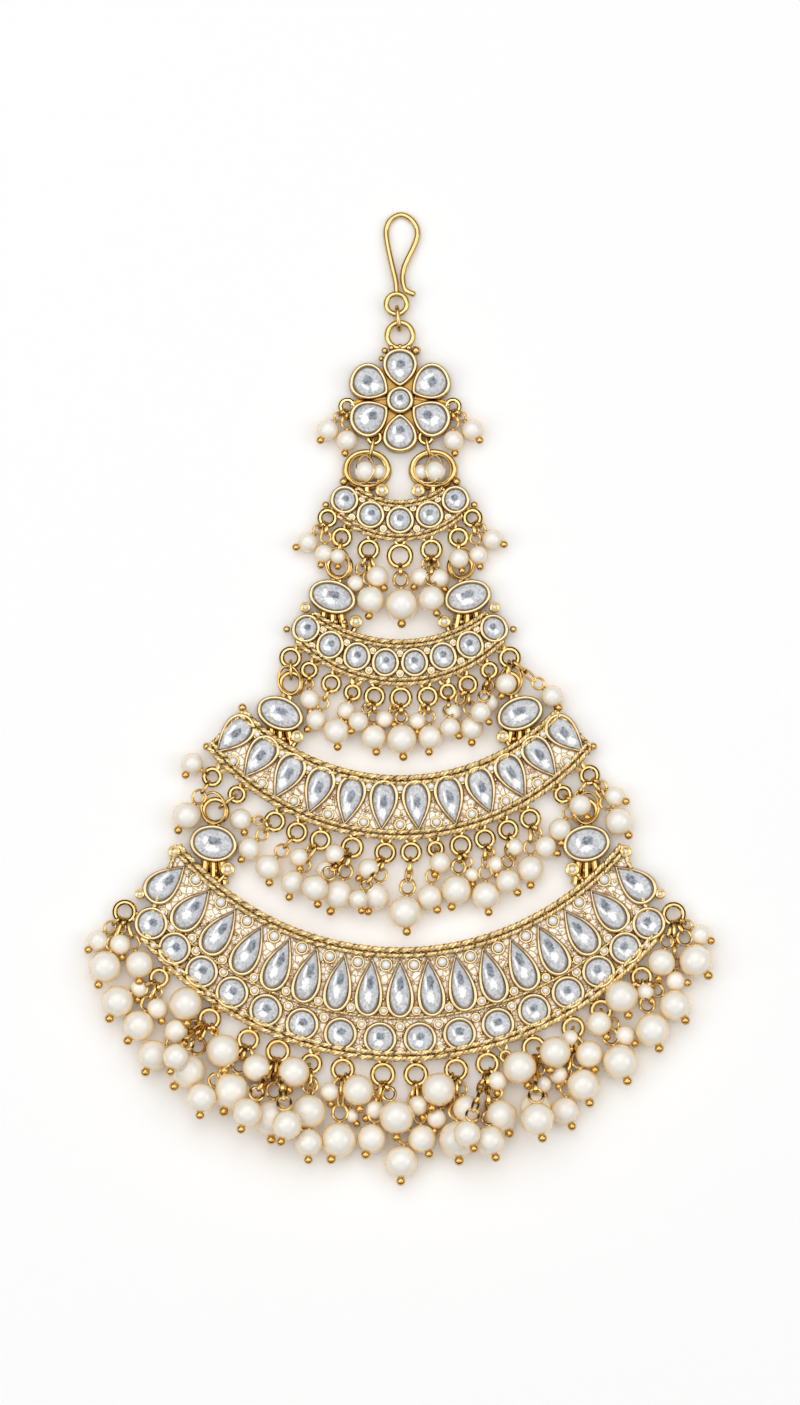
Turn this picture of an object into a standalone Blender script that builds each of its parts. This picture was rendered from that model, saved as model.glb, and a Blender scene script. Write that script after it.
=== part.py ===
"""A jhoomar, a side hair jewel: a wire hook, a flower of seven stones and four crescents of growing
size with pearls on pins. It lies on its back. X is to the right, Y to the hook, Z off the table."""

import math

import bmesh
import bpy
from mathutils import Matrix, Vector
from mathutils.bvhtree import BVHTree

MM = 0.001

# Heights
PLATE_TOP = 2.0
STONE_FOOT = 0.8
RIM_TOP = 2.9
TABLE_TOP = 3.5
LOOP_Z = 1.45

# Wires and gaps
WIRE = 0.42
RING_WIRE = 0.5
HOOK_WIRE = 0.47
LINK_WIRE = 0.3
PIN_WIRE = 0.2
GAP = 0.22
PIN_GAP = 0.12
FLOOR_GAP = 0.02
LEG_SINK = 0.9
LEG_SPREAD = 0.75
HOOK_LINK_WIRE = 0.4
LINK_SLACK = 1.05

# Round work
WIRE_SIDES = 5
LINK_SIDES = 10
PEARL_SIDES = 10
PEARL_RINGS = 5
STONE_SIDES = 8
TABLE_SHARE = 0.5
PEAR_NARROW = 0.28
PEAR_DROP = 0.06
NECK_SHARE = 0.495
SMOOTH_BELOW = 40
WIDEST_BEND = 1.43

# Flower
FLOWER_Y = 52.0
FLOWER_DISC = 7.0
PETAL_REACH = 5.85
PETAL_LONG = 6.8
PETAL_SHARE = 1.1
PETAL_WIDE = PETAL_REACH * PETAL_SHARE
HEART_WIDE = 4.6
TOP_RING = 2.25
TOP_RING_Y = FLOWER_Y + PETAL_REACH + PETAL_LONG / 2 + TOP_RING
EAR_X = 9.25
EAR_Y = 51.0
EAR = 1.15
EAR_SINK = 1.2
LUG_X = 4.5
LUG_Y = 45.57
LUG = 1.08
FLOWER_PEARL = (9.3, 45.0, 3.7)

# Hook: its eye, then the run of its wire from the eye round to the tail
EYE_X = -0.6
EYE_Y = 69.0
EYE = 1.8
EYE_Z = 1.6
CROWN_Z = 0.5
TAIL_LIFT = 0.25
HOOK_RUN = [
    (-0.6, 70.9),
    (-0.8, 73.2),
    (-1.6, 76.7),
    (-2.3, 80.2),
    (-2.4, 82.3),
    (-1.6, 84.0),
    (0.2, 84.85),
    (2.0, 84.0),
    (3.0, 82.3),
    (2.8, 80.2),
    (1.2, 76.7),
    (0.6, 75.0),
    (0.5, 73.2),
    (1.0, 71.5),
    (2.6, 70.6),
]

# Edges of the crescents: radius, height of the arc's centre, half of the chord
UPPER = {
    1: (12.25, 46.5, 7.35),
    2: (24.3, 34.1, 14.9),
    3: (37.4, 23.4, 27.1),
    4: (49.6, 5.6, 38.4),
}
LOWER = {
    1: (16.47, 43.9, 11.0),
    2: (25.45, 27.55, 18.2),
    3: (43.4, 18.7, 33.5),
    4: (58.6, -4.65, 45.1),
}
EDGE_STEPS = {1: 8, 2: 10, 3: 12, 4: 16}

# Rows of stones: crescent, shape, count, row radius, centre height, half spread in degrees, how
# much closer they stand in the middle than at the ends, then the bezel's width and length
STONES = [
    (1, "round", 5, 15.0, 45.97, 40.2, 0.0, 4.9, 4.9),
    (2, "round", 8, 25.2, 31.1, 40.6, 0.0, 4.8, 4.8),
    (3, "pear_in", 12, 40.6, 21.3, 46.0, 0.0, 5.6, 8.2),
    (4, "pear_up", 17, 53.7, 3.1, 48.9, 0.08, 5.5, 9.9),
    (4, "round", 16, 56.6, -3.1, 49.9, -0.06, 5.6, 5.6),
]

# Ovals over the ends: crescent, side offset, height, tilt in degrees, length, width,
# then the ring over it: side offset, height, radius
OVALS = [
    (2, 11.8, 17.5, 16.0, 8.3, 5.8, 10.6, 22.9, 2.0),
    (3, 20.9, -2.9, 22.0, 8.3, 5.8, 19.0, 2.4, 1.85),
    (4, 32.5, -25.6, 9.5, 8.2, 6.4, 32.2, -19.9, 2.05),
]
STRUT = 1.0
STRUT_Z = 1.2

# The big rings on crescent 1
BIG_RING = 3.33
BIG_RING_X = 5.8
BIG_RING_Y = 39.7
RING_STRUT = 0.7
RING_STRUT_Z = 1.3

# Loops that carry the next crescent: side offset, height, radius, by crescent
CARRIERS = {
    1: (10.2, 28.0, 1.46),
    2: (19.1, 6.9, 1.55),
    3: (28.4, -17.0, 1.25),
}

# Loops with drops, a row for each. First the loop's angle and its centre's reach past the
# lower edge, then its radius, then its pearl: angle, fall past the edge, and size
DROPS = {
    1: [
        (-45.3, 1.3, 1.35, -44.0, 6.8, 3.5),
        (-16.9, 2.4, 1.55, -11.5, 10.9, 4.8),
        (0.0, 2.7, 1.9, 0.0, 11.3, 5.7),
        (16.9, 2.4, 1.55, 11.5, 10.9, 4.5),
        (45.3, 1.3, 1.35, 44.8, 6.4, 3.6),
    ],
    2: [
        (-34.8, 2.3, 1.2, -30.6, 6.6, 3.5),
        (-25.5, 2.4, 1.4, -25.5, 9.3, 3.6),
        (-17.2, 2.5, 1.2, -19.3, 9.9, 4.6),
        (-9.2, 2.3, 1.5, -7.6, 9.4, 4.4),
        (0.3, 2.2, 1.6, 0.5, 9.5, 5.2),
        (10.0, 2.4, 1.5, 8.2, 9.5, 4.3),
        (17.4, 2.4, 1.2, 13.8, 8.6, 3.5),
        (25.0, 2.5, 1.4, 19.8, 9.8, 4.2),
        (34.3, 2.2, 1.2, 28.5, 7.0, 3.4),
    ],
    3: [
        (-45.1, 2.8, 1.4, -43.3, 10.8, 4.9),
        (-28.4, 2.5, 1.5, -30.2, 8.8, 3.9),
        (-23.0, 2.5, 1.5, -25.4, 10.2, 4.5),
        (-17.6, 2.4, 1.5, -20.0, 11.0, 4.3),
        (-10.5, 2.3, 1.6, -11.4, 10.9, 5.4),
        (-3.2, 2.5, 1.5, -4.6, 10.3, 4.8),
        (2.4, 2.4, 1.5, 0.9, 12.9, 5.7),
        (13.4, 2.4, 1.6, 10.6, 9.9, 5.2),
        (18.8, 2.5, 1.5, 15.0, 12.0, 4.9),
        (24.2, 2.5, 1.5, 19.6, 10.9, 4.2),
        (29.6, 2.5, 1.5, 25.0, 10.4, 4.7),
        (45.6, 2.8, 1.4, 43.3, 12.2, 4.9),
    ],
    4: [
        (-55.6, -0.5, 1.7, -50.4, 8.0, 5.6),
        (-43.4, 2.4, 1.4, -45.4, 10.4, 5.6),
        (-32.8, 2.6, 1.6, -31.4, 12.3, 6.1),
        (-25.6, 2.5, 1.6, -24.6, 11.9, 6.4),
        (-20.4, 2.3, 1.75, -18.0, 13.7, 6.4),
        (-14.6, 2.6, 1.5, -13.2, 10.9, 6.1),
        (-9.4, 2.5, 1.7, -8.4, 14.7, 6.2),
        (-2.8, 2.6, 1.8, -3.9, 13.8, 5.1),
        (2.6, 2.6, 1.75, 0.1, 17.7, 5.7),
        (9.2, 2.5, 1.7, 7.8, 14.5, 6.4),
        (14.4, 2.6, 1.7, 14.4, 12.0, 5.7),
        (22.4, 2.5, 1.75, 19.4, 12.3, 5.4),
        (29.6, 2.4, 1.65, 26.8, 12.0, 5.6),
        (35.0, 2.4, 1.6, 33.0, 11.7, 6.1),
        (43.6, 2.4, 1.55, 39.4, 10.5, 5.9),
        (55.1, -0.5, 1.7, 51.2, 7.4, 5.8),
    ],
}
END_LOOPS = (1, 4)
END_ANGLE = 45

# A drop that has no room is swung and lifted by these steps, until it is clear
LIFT_STEP = 0.25
LIFT_STEPS = 24
SWINGS = (0.0, 0.3, -0.3, 0.6, -0.6)

COLOURS = {
    "gold": ((0.83, 0.62, 0.28, 1.0), 1.0, 0.25),
    "pearl": ((0.93, 0.87, 0.76, 1.0), 0.0, 0.22),
}


def clear_scene():
    for thing in list(bpy.data.objects):
        bpy.data.objects.remove(thing, do_unlink=True)


def material(name, look):
    colour, metallic, roughness = COLOURS[look]
    made = bpy.data.materials.new(name)
    made.use_nodes = True
    shader = made.node_tree.nodes["Principled BSDF"]
    shader.inputs["Base Color"].default_value = colour
    shader.inputs["Metallic"].default_value = metallic
    shader.inputs["Roughness"].default_value = roughness
    return made


def arc_point(arc, degrees, reach=0.0):
    """The point at an angle from straight down on an arc, a reach outside it."""
    radius, centre = arc[0] + reach, arc[1]
    turn = math.radians(degrees)
    return Vector((radius * math.sin(turn), centre - radius * math.cos(turn), 0.0))


def side_of(way):
    """The direction from which the sides of a wire that runs this way are counted."""
    side = way.cross(Vector((0, 0, 1)))
    if side.length < 0.2:
        side = way.cross(Vector((0, 1, 0)))
    return (side - way * side.dot(way)).normalized()


def tube(bm, points, radius, sides=WIRE_SIDES, closed=False, neck=False):
    """A wire along the points. Its ends are flat, or the first is left open for a neck."""
    points = [Vector(p) * MM for p in points]
    count = len(points)
    loops = []
    side = None
    for i, point in enumerate(points):
        before = points[i - 1] if closed or i else point
        after = points[(i + 1) % count] if closed or i < count - 1 else point
        way = (after - before).normalized()
        if side is None:
            side = side_of(way)
        side = (side - way * side.dot(way)).normalized()
        up = way.cross(side)
        bend = 1.0
        if closed or 0 < i < count - 1:
            first, second = (point - before).normalized(), (after - point).normalized()
            bend = min(WIDEST_BEND, math.sqrt(2 / max(1e-6, 1 + first.dot(second))))
        flat = (after - point).normalized() - (point - before).normalized()
        flat = flat.normalized() if flat.length > 1e-6 else None
        ring = []
        for k in range(sides):
            turn = 2 * math.pi * k / sides
            out = (side * math.cos(turn) + up * math.sin(turn)) * radius * MM
            if flat is not None:
                out += flat * out.dot(flat) * (bend - 1.0)
            ring.append(bm.verts.new(point + out))
        loops.append(ring)
    for i in range(count if closed else count - 1):
        low, high = loops[i], loops[(i + 1) % count]
        for k in range(sides):
            n = (k + 1) % sides
            bm.faces.new((low[k], low[n], high[n], high[k]))
    if not closed:
        bm.faces.new(loops[-1])
    if not closed and not neck:
        bm.faces.new(loops[0])
    return loops[0]


def ring_points(centre, radius, across=Vector((1, 0, 0)), along=Vector((0, 1, 0)), rise=None):
    """The ten corners of a link's centre line, an oval if rise is its second half size."""
    rise = radius if rise is None else rise
    made = []
    for k in range(LINK_SIDES):
        turn = 2 * math.pi * (k + 0.5) / LINK_SIDES
        made.append(centre + across * rise * math.cos(turn) + along * radius * math.sin(turn))
    return made


def loop_points(centre, radius, root):
    """A loop that opens to its root: a half round of link corners, then two straight legs."""
    way = centre - root
    way.z = 0.0
    way.normalize()
    across = Vector((-way.y, way.x, 0.0))
    start = Vector((root.x, root.y, centre.z))
    turns = [math.radians(90 + 36 * k) for k in (-2, -1, 0, 1, 2)]
    bow = [centre + across * radius * math.cos(t) + way * radius * math.sin(t) for t in turns]
    foot = LEG_SPREAD * radius
    return [start + across * foot] + bow + [start - across * foot]


def shell(bm, outlines):
    """A closed body through the outlines, each a list of points in mm, with flat ends."""
    loops = [[bm.verts.new(p * MM) for p in outline] for outline in outlines]
    for low, high in zip(loops, loops[1:]):
        for k in range(len(low)):
            n = (k + 1) % len(low)
            bm.faces.new((low[k], low[n], high[n], high[k]))
    bm.faces.new(loops[0])
    bm.faces.new(loops[-1])


def outline(shape, wide, long, place, turn, z):
    """The corners of a bezel or stone. A pear points along +Y before it is turned."""
    made = []
    for k in range(STONE_SIDES):
        t = 2 * math.pi * (k + (0.5 if shape != "pear" else 0.0)) / STONE_SIDES
        x, y = math.sin(t) * wide / 2, math.cos(t) * long / 2
        if shape == "pear":
            pull = 0.5 + 0.5 * math.cos(t)
            x *= 1.0 - PEAR_NARROW * pull
            y -= PEAR_DROP * long * (1.0 - pull)
        at = Matrix.Rotation(turn, 3, "Z") @ Vector((x, y, 0.0))
        made.append(place + at + Vector((0, 0, z)))
    return made


def stone(bm, shape, wide, long, place, turn):
    """A bezel with its stone: the bezel's wall, then the crown's facets and the table."""
    foot = outline(shape, wide, long, place, turn, STONE_FOOT)
    girdle = outline(shape, wide, long, place, turn, RIM_TOP)
    wide, long = wide * TABLE_SHARE, long * TABLE_SHARE
    shell(bm, [foot, girdle, outline(shape, wide, long, place, turn, TABLE_TOP)])


def finish(bm):
    bmesh.ops.recalc_face_normals(bm, faces=bm.faces[:])
    return bm


def body(name, bm, look):
    mesh = bpy.data.meshes.new(name)
    finish(bm).to_mesh(mesh)
    bm.free()
    mesh.shade_smooth()
    mesh.set_sharp_from_angle(angle=math.radians(SMOOTH_BELOW))
    made = bpy.data.objects.new(name, mesh)
    mesh.materials.append(material(name + "_" + look, look))
    bpy.context.scene.collection.objects.link(made)
    return made


def solder(target, name, bm):
    """Joins a helper body to the target with an exact union."""
    mesh = bpy.data.meshes.new(name)
    finish(bm).to_mesh(mesh)
    bm.free()
    helper = bpy.data.objects.new(name, mesh)
    helper.hide_render = True
    helper.display_type = "WIRE"
    bpy.context.scene.collection.objects.link(helper)
    union = target.modifiers.new(name, "BOOLEAN")
    union.operation = "UNION"
    union.solver = "EXACT"
    union.object = helper
    return helper


def crescent_plate(tier):
    """The flat back of a crescent between its two arcs."""
    steps = EDGE_STEPS[tier]
    upper, lower = UPPER[tier], LOWER[tier]
    edge = []
    for arc, way in ((upper, 1), (lower, -1)):
        most = math.degrees(math.asin(arc[2] / arc[0]))
        for k in range(steps + 1):
            edge.append(arc_point(arc, way * most * (2 * k / steps - 1)))
    bm = bmesh.new()
    shell(bm, [edge, [p + Vector((0, 0, PLATE_TOP)) for p in edge]])
    return bm


def lying(point, z=LOOP_Z):
    return Vector((point.x, point.y, z))


def row_stones(tier):
    bm = bmesh.new()
    for row, shape, count, radius, centre, spread, crowd, wide, long in STONES:
        if row != tier:
            continue
        for k in range(count):
            share = 2 * k / (count - 1) - 1
            degrees = spread * ((1 - crowd) * share + crowd * share ** 3)
            place = arc_point((radius, centre), degrees)
            turn = math.radians(degrees)
            if shape == "pear_in":
                turn += math.pi
            stone(bm, shape.split("_")[0], wide, long, place, turn)
    return bm


def drop_loop(tier, row):
    """Centre, radius and root of a loop with a drop."""
    centre = lying(arc_point(LOWER[tier], row[0], row[1]))
    root = lying(arc_point(LOWER[tier], row[0], -LEG_SINK))
    if tier in END_LOOPS and abs(row[0]) > END_ANGLE:
        last = [r for r in STONES if r[0] == tier][-1]
        heart = arc_point((last[3], last[4]), math.copysign(last[5], row[0]))
        root = lying(heart + (centre - heart).normalized() * (last[7] / 2 - LEG_SINK))
    return centre, row[2], root


def loops_of(tier, odd):
    """Every second loop of the lower edge, so that no two of them touch in one helper."""
    bm = bmesh.new()
    rows = [drop_loop(tier, row) for row in DROPS[tier]]
    if tier in CARRIERS:
        x, y, radius = CARRIERS[tier]
        arc = LOWER[tier]
        for way in (-1, 1):
            centre = Vector((way * x, y, LOOP_Z))
            inward = (Vector((0, arc[1], LOOP_Z)) - centre).normalized()
            reach = (Vector((0, arc[1], LOOP_Z)) - centre).length - arc[0] + LEG_SINK
            rows.append((centre, radius, centre + inward * reach))
    rows.sort(key=lambda row: row[0].x)
    for centre, radius, root in rows[odd::2]:
        tube(bm, loop_points(centre, radius, root), WIRE)
    return bm


def ovals_of(tier):
    """The oval bezels over the ends and the struts that hold them."""
    stones, struts, rings = bmesh.new(), bmesh.new(), bmesh.new()
    for row, x, y, tilt, long, wide, ring_x, ring_y, ring in OVALS:
        if row != tier:
            continue
        for way in (-1, 1):
            place = Vector((way * x, y, 0.0))
            stone(stones, "oval", long, wide, place, math.radians(way * tilt))
            arc = UPPER[tier]
            turn = math.degrees(math.asin(x / arc[0]))
            foot = lying(arc_point(arc, way * turn, LEG_SINK), STRUT_Z)
            tube(struts, [lying(place, STRUT_Z), foot], STRUT)
            centre = Vector((way * ring_x, ring_y, LOOP_Z))
            root = lying(place + (centre - lying(place)).normalized() * (wide / 2 - LEG_SINK))
            tube(rings, loop_points(centre, ring, root), WIRE)
    return stones, struts, rings


def make_tier(tier):
    made = body("tier_%d" % tier, crescent_plate(tier), "gold")
    solder(made, "tier_%d_stones" % tier, row_stones(tier))
    solder(made, "tier_%d_loops_a" % tier, loops_of(tier, 0))
    solder(made, "tier_%d_loops_b" % tier, loops_of(tier, 1))
    if tier == 1:
        rings, struts = bmesh.new(), bmesh.new()
        for way in (-1, 1):
            centre = Vector((way * BIG_RING_X, BIG_RING_Y, LOOP_Z))
            tube(rings, ring_points(centre, BIG_RING), RING_WIRE, WIRE_SIDES, True)
            low = centre - Vector((0, BIG_RING, 0))
            arc = UPPER[1]
            turn = math.degrees(math.asin(BIG_RING_X / arc[0]))
            foot = lying(arc_point(arc, way * turn, LEG_SINK), RING_STRUT_Z)
            tube(struts, [low, foot], RING_STRUT)
        solder(made, "tier_1_rings", rings)
        solder(made, "tier_1_struts", struts)
    else:
        stones, struts, rings = ovals_of(tier)
        solder(made, "tier_%d_ovals" % tier, stones)
        solder(made, "tier_%d_struts" % tier, struts)
        solder(made, "tier_%d_rings" % tier, rings)
    return made


def make_flower():
    heart = Vector((0, FLOWER_Y, 0))
    bm = bmesh.new()
    turns = [2 * math.pi * (k + 0.5) / 12 for k in range(12)]
    edge = [heart + Vector((math.sin(t), math.cos(t), 0)) * FLOWER_DISC for t in turns]
    shell(bm, [edge, [p + Vector((0, 0, PLATE_TOP)) for p in edge]])
    made = body("flower", bm, "gold")
    petals, middle, rings, ears = bmesh.new(), bmesh.new(), bmesh.new(), bmesh.new()
    for k in range(6):
        turn = math.pi * k / 3
        out = Vector((math.sin(turn), math.cos(turn), 0))
        place = heart + out * PETAL_REACH
        stone(petals, "pear", PETAL_WIDE, PETAL_LONG, place, math.pi - turn)
    stone(middle, "round", HEART_WIDE, HEART_WIDE, heart, 0.0)
    top = Vector((0, TOP_RING_Y, LOOP_Z))
    tube(rings, ring_points(top, TOP_RING), RING_WIRE, WIRE_SIDES, True)
    for way in (-1, 1):
        ear = Vector((way * EAR_X, EAR_Y, LOOP_Z))
        tube(ears, loop_points(ear, EAR, Vector((way * (FLOWER_DISC - EAR_SINK), EAR_Y, 0))), WIRE)
        lug = Vector((way * LUG_X, LUG_Y, LOOP_Z))
        root = Vector((way * LUG_X, LUG_Y + LUG + LEG_SINK, 0))
        tube(ears, loop_points(lug, LUG, root), WIRE)
    solder(made, "flower_petals", petals)
    solder(made, "flower_middle", middle)
    solder(made, "flower_top_ring", rings)
    solder(made, "flower_ears", ears)
    return made


def make_hook():
    bm = bmesh.new()
    eye = Vector((EYE_X, EYE_Y, EYE_Z))
    tube(bm, ring_points(eye, EYE), HOOK_WIRE, WIRE_SIDES, True)
    made = body("hook", bm, "gold")
    top = max(y for _, y in HOOK_RUN)
    run = []
    for k, (x, y) in enumerate(HOOK_RUN):
        z = CROWN_Z + (EYE_Z - CROWN_Z) * (top - y) / (top - EYE_Y)
        run.append(Vector((x, y, z + TAIL_LIFT * max(0, k - len(HOOK_RUN) + 3))))
    bm = bmesh.new()
    tube(bm, run, HOOK_WIRE)
    solder(made, "hook_run", bm)
    return made


def make_link(name, one, one_radius, two, two_radius, wire, thick):
    """An upright link through two lying loops."""
    way = (two - one).normalized()
    first, second = one + way * one_radius, two - way * two_radius
    along = (second - first).normalized()
    reach = (second - first).length / 2 + thick + GAP + wire
    rise = thick + GAP + wire
    centre = (first + second) / 2
    centre.z = max(centre.z, rise * LINK_SLACK + wire)
    bm = bmesh.new()
    upright = Vector((0, 0, 1))
    points = ring_points(centre, reach * LINK_SLACK, upright, along, rise * LINK_SLACK)
    tube(bm, points, wire, WIRE_SIDES, True)
    return body(name, bm, "gold")


def pearl_on_pin(bm, size, points):
    """A pearl whose last ring of faces draws in to the neck of its pin."""
    heart, way = points[0], (points[1] - points[0]).normalized()
    pin = [heart + way * size * NECK_SHARE] + points[1:]
    neck = tube(bm, pin, PIN_WIRE, neck=True)
    side = side_of(way)
    up = way.cross(side)
    rings = []
    for j in range(1, PEARL_RINGS):
        fall = math.pi * j / PEARL_RINGS
        ring = []
        for k in range(PEARL_SIDES):
            turn = 2 * math.pi * k / PEARL_SIDES
            out = (side * math.cos(turn) + up * math.sin(turn)) * math.sin(fall)
            ring.append(bm.verts.new((heart + (out + way * math.cos(fall)) * size / 2) * MM))
        rings.append(ring)
    for low, high in zip(rings, rings[1:]):
        for k in range(PEARL_SIDES):
            n = (k + 1) % PEARL_SIDES
            bm.faces.new((low[k], low[n], high[n], high[k]))
    tip = bm.verts.new((heart - way * size / 2) * MM)
    for k in range(PEARL_SIDES):
        bm.faces.new((rings[-1][k], rings[-1][(k + 1) % PEARL_SIDES], tip))
    for k in range(WIRE_SIDES):
        n = (k + 1) % WIRE_SIDES
        first, middle = rings[0][2 * k], rings[0][2 * k + 1]
        last = rings[0][(2 * k + 2) % PEARL_SIDES]
        bm.faces.new((first, middle, neck[k]))
        bm.faces.new((middle, last, neck[n], neck[k]))


def pin_points(loop, radius, heart):
    """From the pearl's middle over the loop's wire, down through the loop and back under it."""
    way = lying(heart) - loop
    way.normalize()
    clear = math.sqrt(2) * (WIRE + GAP + PIN_WIRE)
    over = loop + way * radius + Vector((0, 0, clear))
    through = loop + way * (radius - clear)
    under = loop + way * radius - Vector((0, 0, min(clear, loop.z - PIN_WIRE - FLOOR_GAP)))
    return [heart, over, through, under]


def nearest(trees, point):
    best = 1.0
    for tree in trees:
        found = tree.find_nearest(point * MM, best)
        if found[3] is not None:
            best = min(best, found[3])
    return best / MM


def is_clear(trees, loop, radius, heart, size):
    if nearest(trees, heart) < size / 2 + GAP:
        return False
    points = pin_points(loop, radius, heart)
    for start, end in zip(points, points[1:]):
        steps = max(2, int((end - start).length / 0.3))
        for k in range(steps + 1):
            if nearest(trees, start.lerp(end, k / steps)) < PIN_WIRE + PIN_GAP:
                return False
    return True


def settle(trees, loop, radius, arc, degrees, fall, size):
    """The lowest place for a pearl where it and its pin touch nothing."""
    for lift in range(LIFT_STEPS):
        for swing in SWINGS:
            heart = arc_point(arc, degrees + math.degrees(swing / (arc[0] + fall)), fall)
            heart.z = size / 2 + FLOOR_GAP + lift * LIFT_STEP
            if is_clear(trees, loop, radius, heart, size):
                return heart
    return heart


def make_drop(name, trees, loop, radius, heart, size):
    bm = bmesh.new()
    pearl_on_pin(bm, size, pin_points(loop, radius, heart))
    made = body(name, bm, "pearl")
    trees.append(tree_of(made))
    return made


def tree_of(thing):
    bpy.context.view_layer.update()
    return BVHTree.FromObject(thing, bpy.context.evaluated_depsgraph_get())


clear_scene()
fixed = [make_hook(), make_flower()]
tiers = {tier: make_tier(tier) for tier in (1, 2, 3, 4)}
fixed += tiers.values()

EYE_AT = Vector((EYE_X, EYE_Y, EYE_Z))
TOP_RING_AT = Vector((0, TOP_RING_Y, LOOP_Z))
fixed.append(make_link("hook_link", EYE_AT, EYE, TOP_RING_AT, TOP_RING, HOOK_LINK_WIRE, RING_WIRE))
SIDES = (("left", -1), ("right", 1))
for word, way in SIDES:
    lug_at = Vector((way * LUG_X, LUG_Y, LOOP_Z))
    big_at = Vector((way * BIG_RING_X, BIG_RING_Y, LOOP_Z))
    name = "flower_link_" + word
    fixed.append(make_link(name, lug_at, LUG, big_at, BIG_RING, LINK_WIRE, RING_WIRE))
    for tier, (x, y, radius) in CARRIERS.items():
        oval = [row for row in OVALS if row[0] == tier + 1][0]
        from_at = Vector((way * x, y, LOOP_Z))
        to_at = Vector((way * oval[6], oval[7], LOOP_Z))
        name = "link_%d%d_%s" % (tier, tier + 1, word)
        fixed.append(make_link(name, from_at, radius, to_at, oval[8], LINK_WIRE, WIRE))

bodies = [tree_of(thing) for thing in fixed]
for word, way in SIDES:
    x, y, size = FLOWER_PEARL
    at = Vector((way * x, y, size / 2 + FLOOR_GAP))
    ear_at = Vector((way * EAR_X, EAR_Y, LOOP_Z))
    make_drop("flower_drop_" + word, bodies, ear_at, EAR, at, size)
for tier, rows in DROPS.items():
    for number, row in enumerate(rows, 1):
        loop_at, loop_radius, _ = drop_loop(tier, row)
        spot = settle(bodies, loop_at, loop_radius, LOWER[tier], row[3], row[4], row[5])
        name = "drop_%d_%02d" % (tier, number)
        make_drop(name, bodies, loop_at, loop_radius, spot, row[5])


def centre_on_table():
    """Moves all of it so that the middle of its box is over the origin and its lowest point at 0."""
    graph = bpy.context.evaluated_depsgraph_get()
    low, high = Vector((1, 1, 1)), Vector((-1, -1, -1))
    for thing in bpy.data.objects:
        if thing.hide_render:
            continue
        for vertex in thing.evaluated_get(graph).data.vertices:
            for k in range(3):
                low[k] = min(low[k], vertex.co[k])
                high[k] = max(high[k], vertex.co[k])
    middle = (low + high) / 2
    middle.z = low.z
    for thing in bpy.data.objects:
        thing.location = -middle


centre_on_table()
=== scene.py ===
"""The looks of a jhoomar, a side hair jewel of gold plated metal, foiled stones and ivory pearls,
that lies on a pale table. Lengths are in millimetres until a mesh is made."""

import math

import bpy
import numpy as np
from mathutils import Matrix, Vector


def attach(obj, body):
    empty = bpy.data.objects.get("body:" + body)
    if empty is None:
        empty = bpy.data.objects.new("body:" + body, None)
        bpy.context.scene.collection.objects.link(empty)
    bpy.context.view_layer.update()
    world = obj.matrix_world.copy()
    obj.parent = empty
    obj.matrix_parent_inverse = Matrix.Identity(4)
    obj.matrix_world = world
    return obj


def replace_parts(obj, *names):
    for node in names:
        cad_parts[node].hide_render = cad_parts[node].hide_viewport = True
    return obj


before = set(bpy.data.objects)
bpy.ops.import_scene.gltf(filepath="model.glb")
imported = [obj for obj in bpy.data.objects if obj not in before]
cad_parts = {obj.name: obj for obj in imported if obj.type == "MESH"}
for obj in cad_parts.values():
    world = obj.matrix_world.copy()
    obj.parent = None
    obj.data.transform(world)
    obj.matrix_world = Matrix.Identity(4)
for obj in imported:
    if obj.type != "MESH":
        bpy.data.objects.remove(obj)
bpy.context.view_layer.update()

MM = 0.001

# Where the drawing's own origin lies in the frame
ORIGIN = np.array([-0.0995, -0.7673, 0.0])

# Heights, as in the frame
PLATE_TOP = 2.0
LOOP_Z = 1.45

# Wires, a touch stouter than in the frame, as plating rounds them
WIRE = 0.49
RING_WIRE = 0.52
HOOK_WIRE = 0.51
LINK_WIRE = 0.3
LUG_WIRE = 0.42
FINE_WIRE = 0.32

# Half width and usual spacing of a drop's narrow links, and the clearance of an upright link
LINK_HALF = 0.6
LINK_LONG = 1.9
GAP = 0.22

# Edges of the crescents: radius, height of the arc's centre, half of the chord
UPPER = {1: (12.25, 46.5, 7.35), 2: (24.3, 34.1, 14.9), 3: (37.4, 23.4, 27.1), 4: (49.6, 5.6, 38.4)}
LOWER = {1: (16.47, 43.9, 11.0), 2: (25.45, 27.55, 18.2), 3: (43.4, 18.7, 33.5), 4: (58.6, -4.65, 45.1)}
TIERS = (1, 2, 3, 4)

# Rows of stones: crescent, shape, count, row radius, centre height, half spread in degrees, how
# much closer they stand in the middle than at the ends, then the bezel's width and length in the
# middle, and the share by which the end ones are wider and shorter
STONES = [
    (1, "round", 5, 15.0, 45.97, 40.2, 0.0, 5.0, 5.0, 0.0),
    (2, "round", 8, 25.2, 31.1, 40.6, 0.0, 4.9, 5.2, 0.0),
    (3, "pear_in", 12, 40.4, 21.3, 46.0, 0.0, 5.15, 9.1, 0.04),
    (4, "pear_up", 17, 54.0, 3.1, 48.9, 0.08, 4.9, 10.4, 0.15),
    (4, "round", 16, 56.6, -3.1, 49.9, -0.06, 5.85, 5.85, 0.0),
]

# Ovals over the ends: crescent, side offset, height, tilt in degrees, length, width,
# then the ring over it: side offset, height, radius
OVALS = [
    (2, 11.8, 17.5, 16.0, 8.3, 5.8, 10.6, 22.9, 2.0),
    (3, 20.9, -2.9, 22.0, 8.3, 5.8, 19.0, 2.4, 1.85),
    (4, 32.5, -25.6, 9.5, 8.2, 6.4, 32.2, -19.9, 2.05),
]

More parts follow.
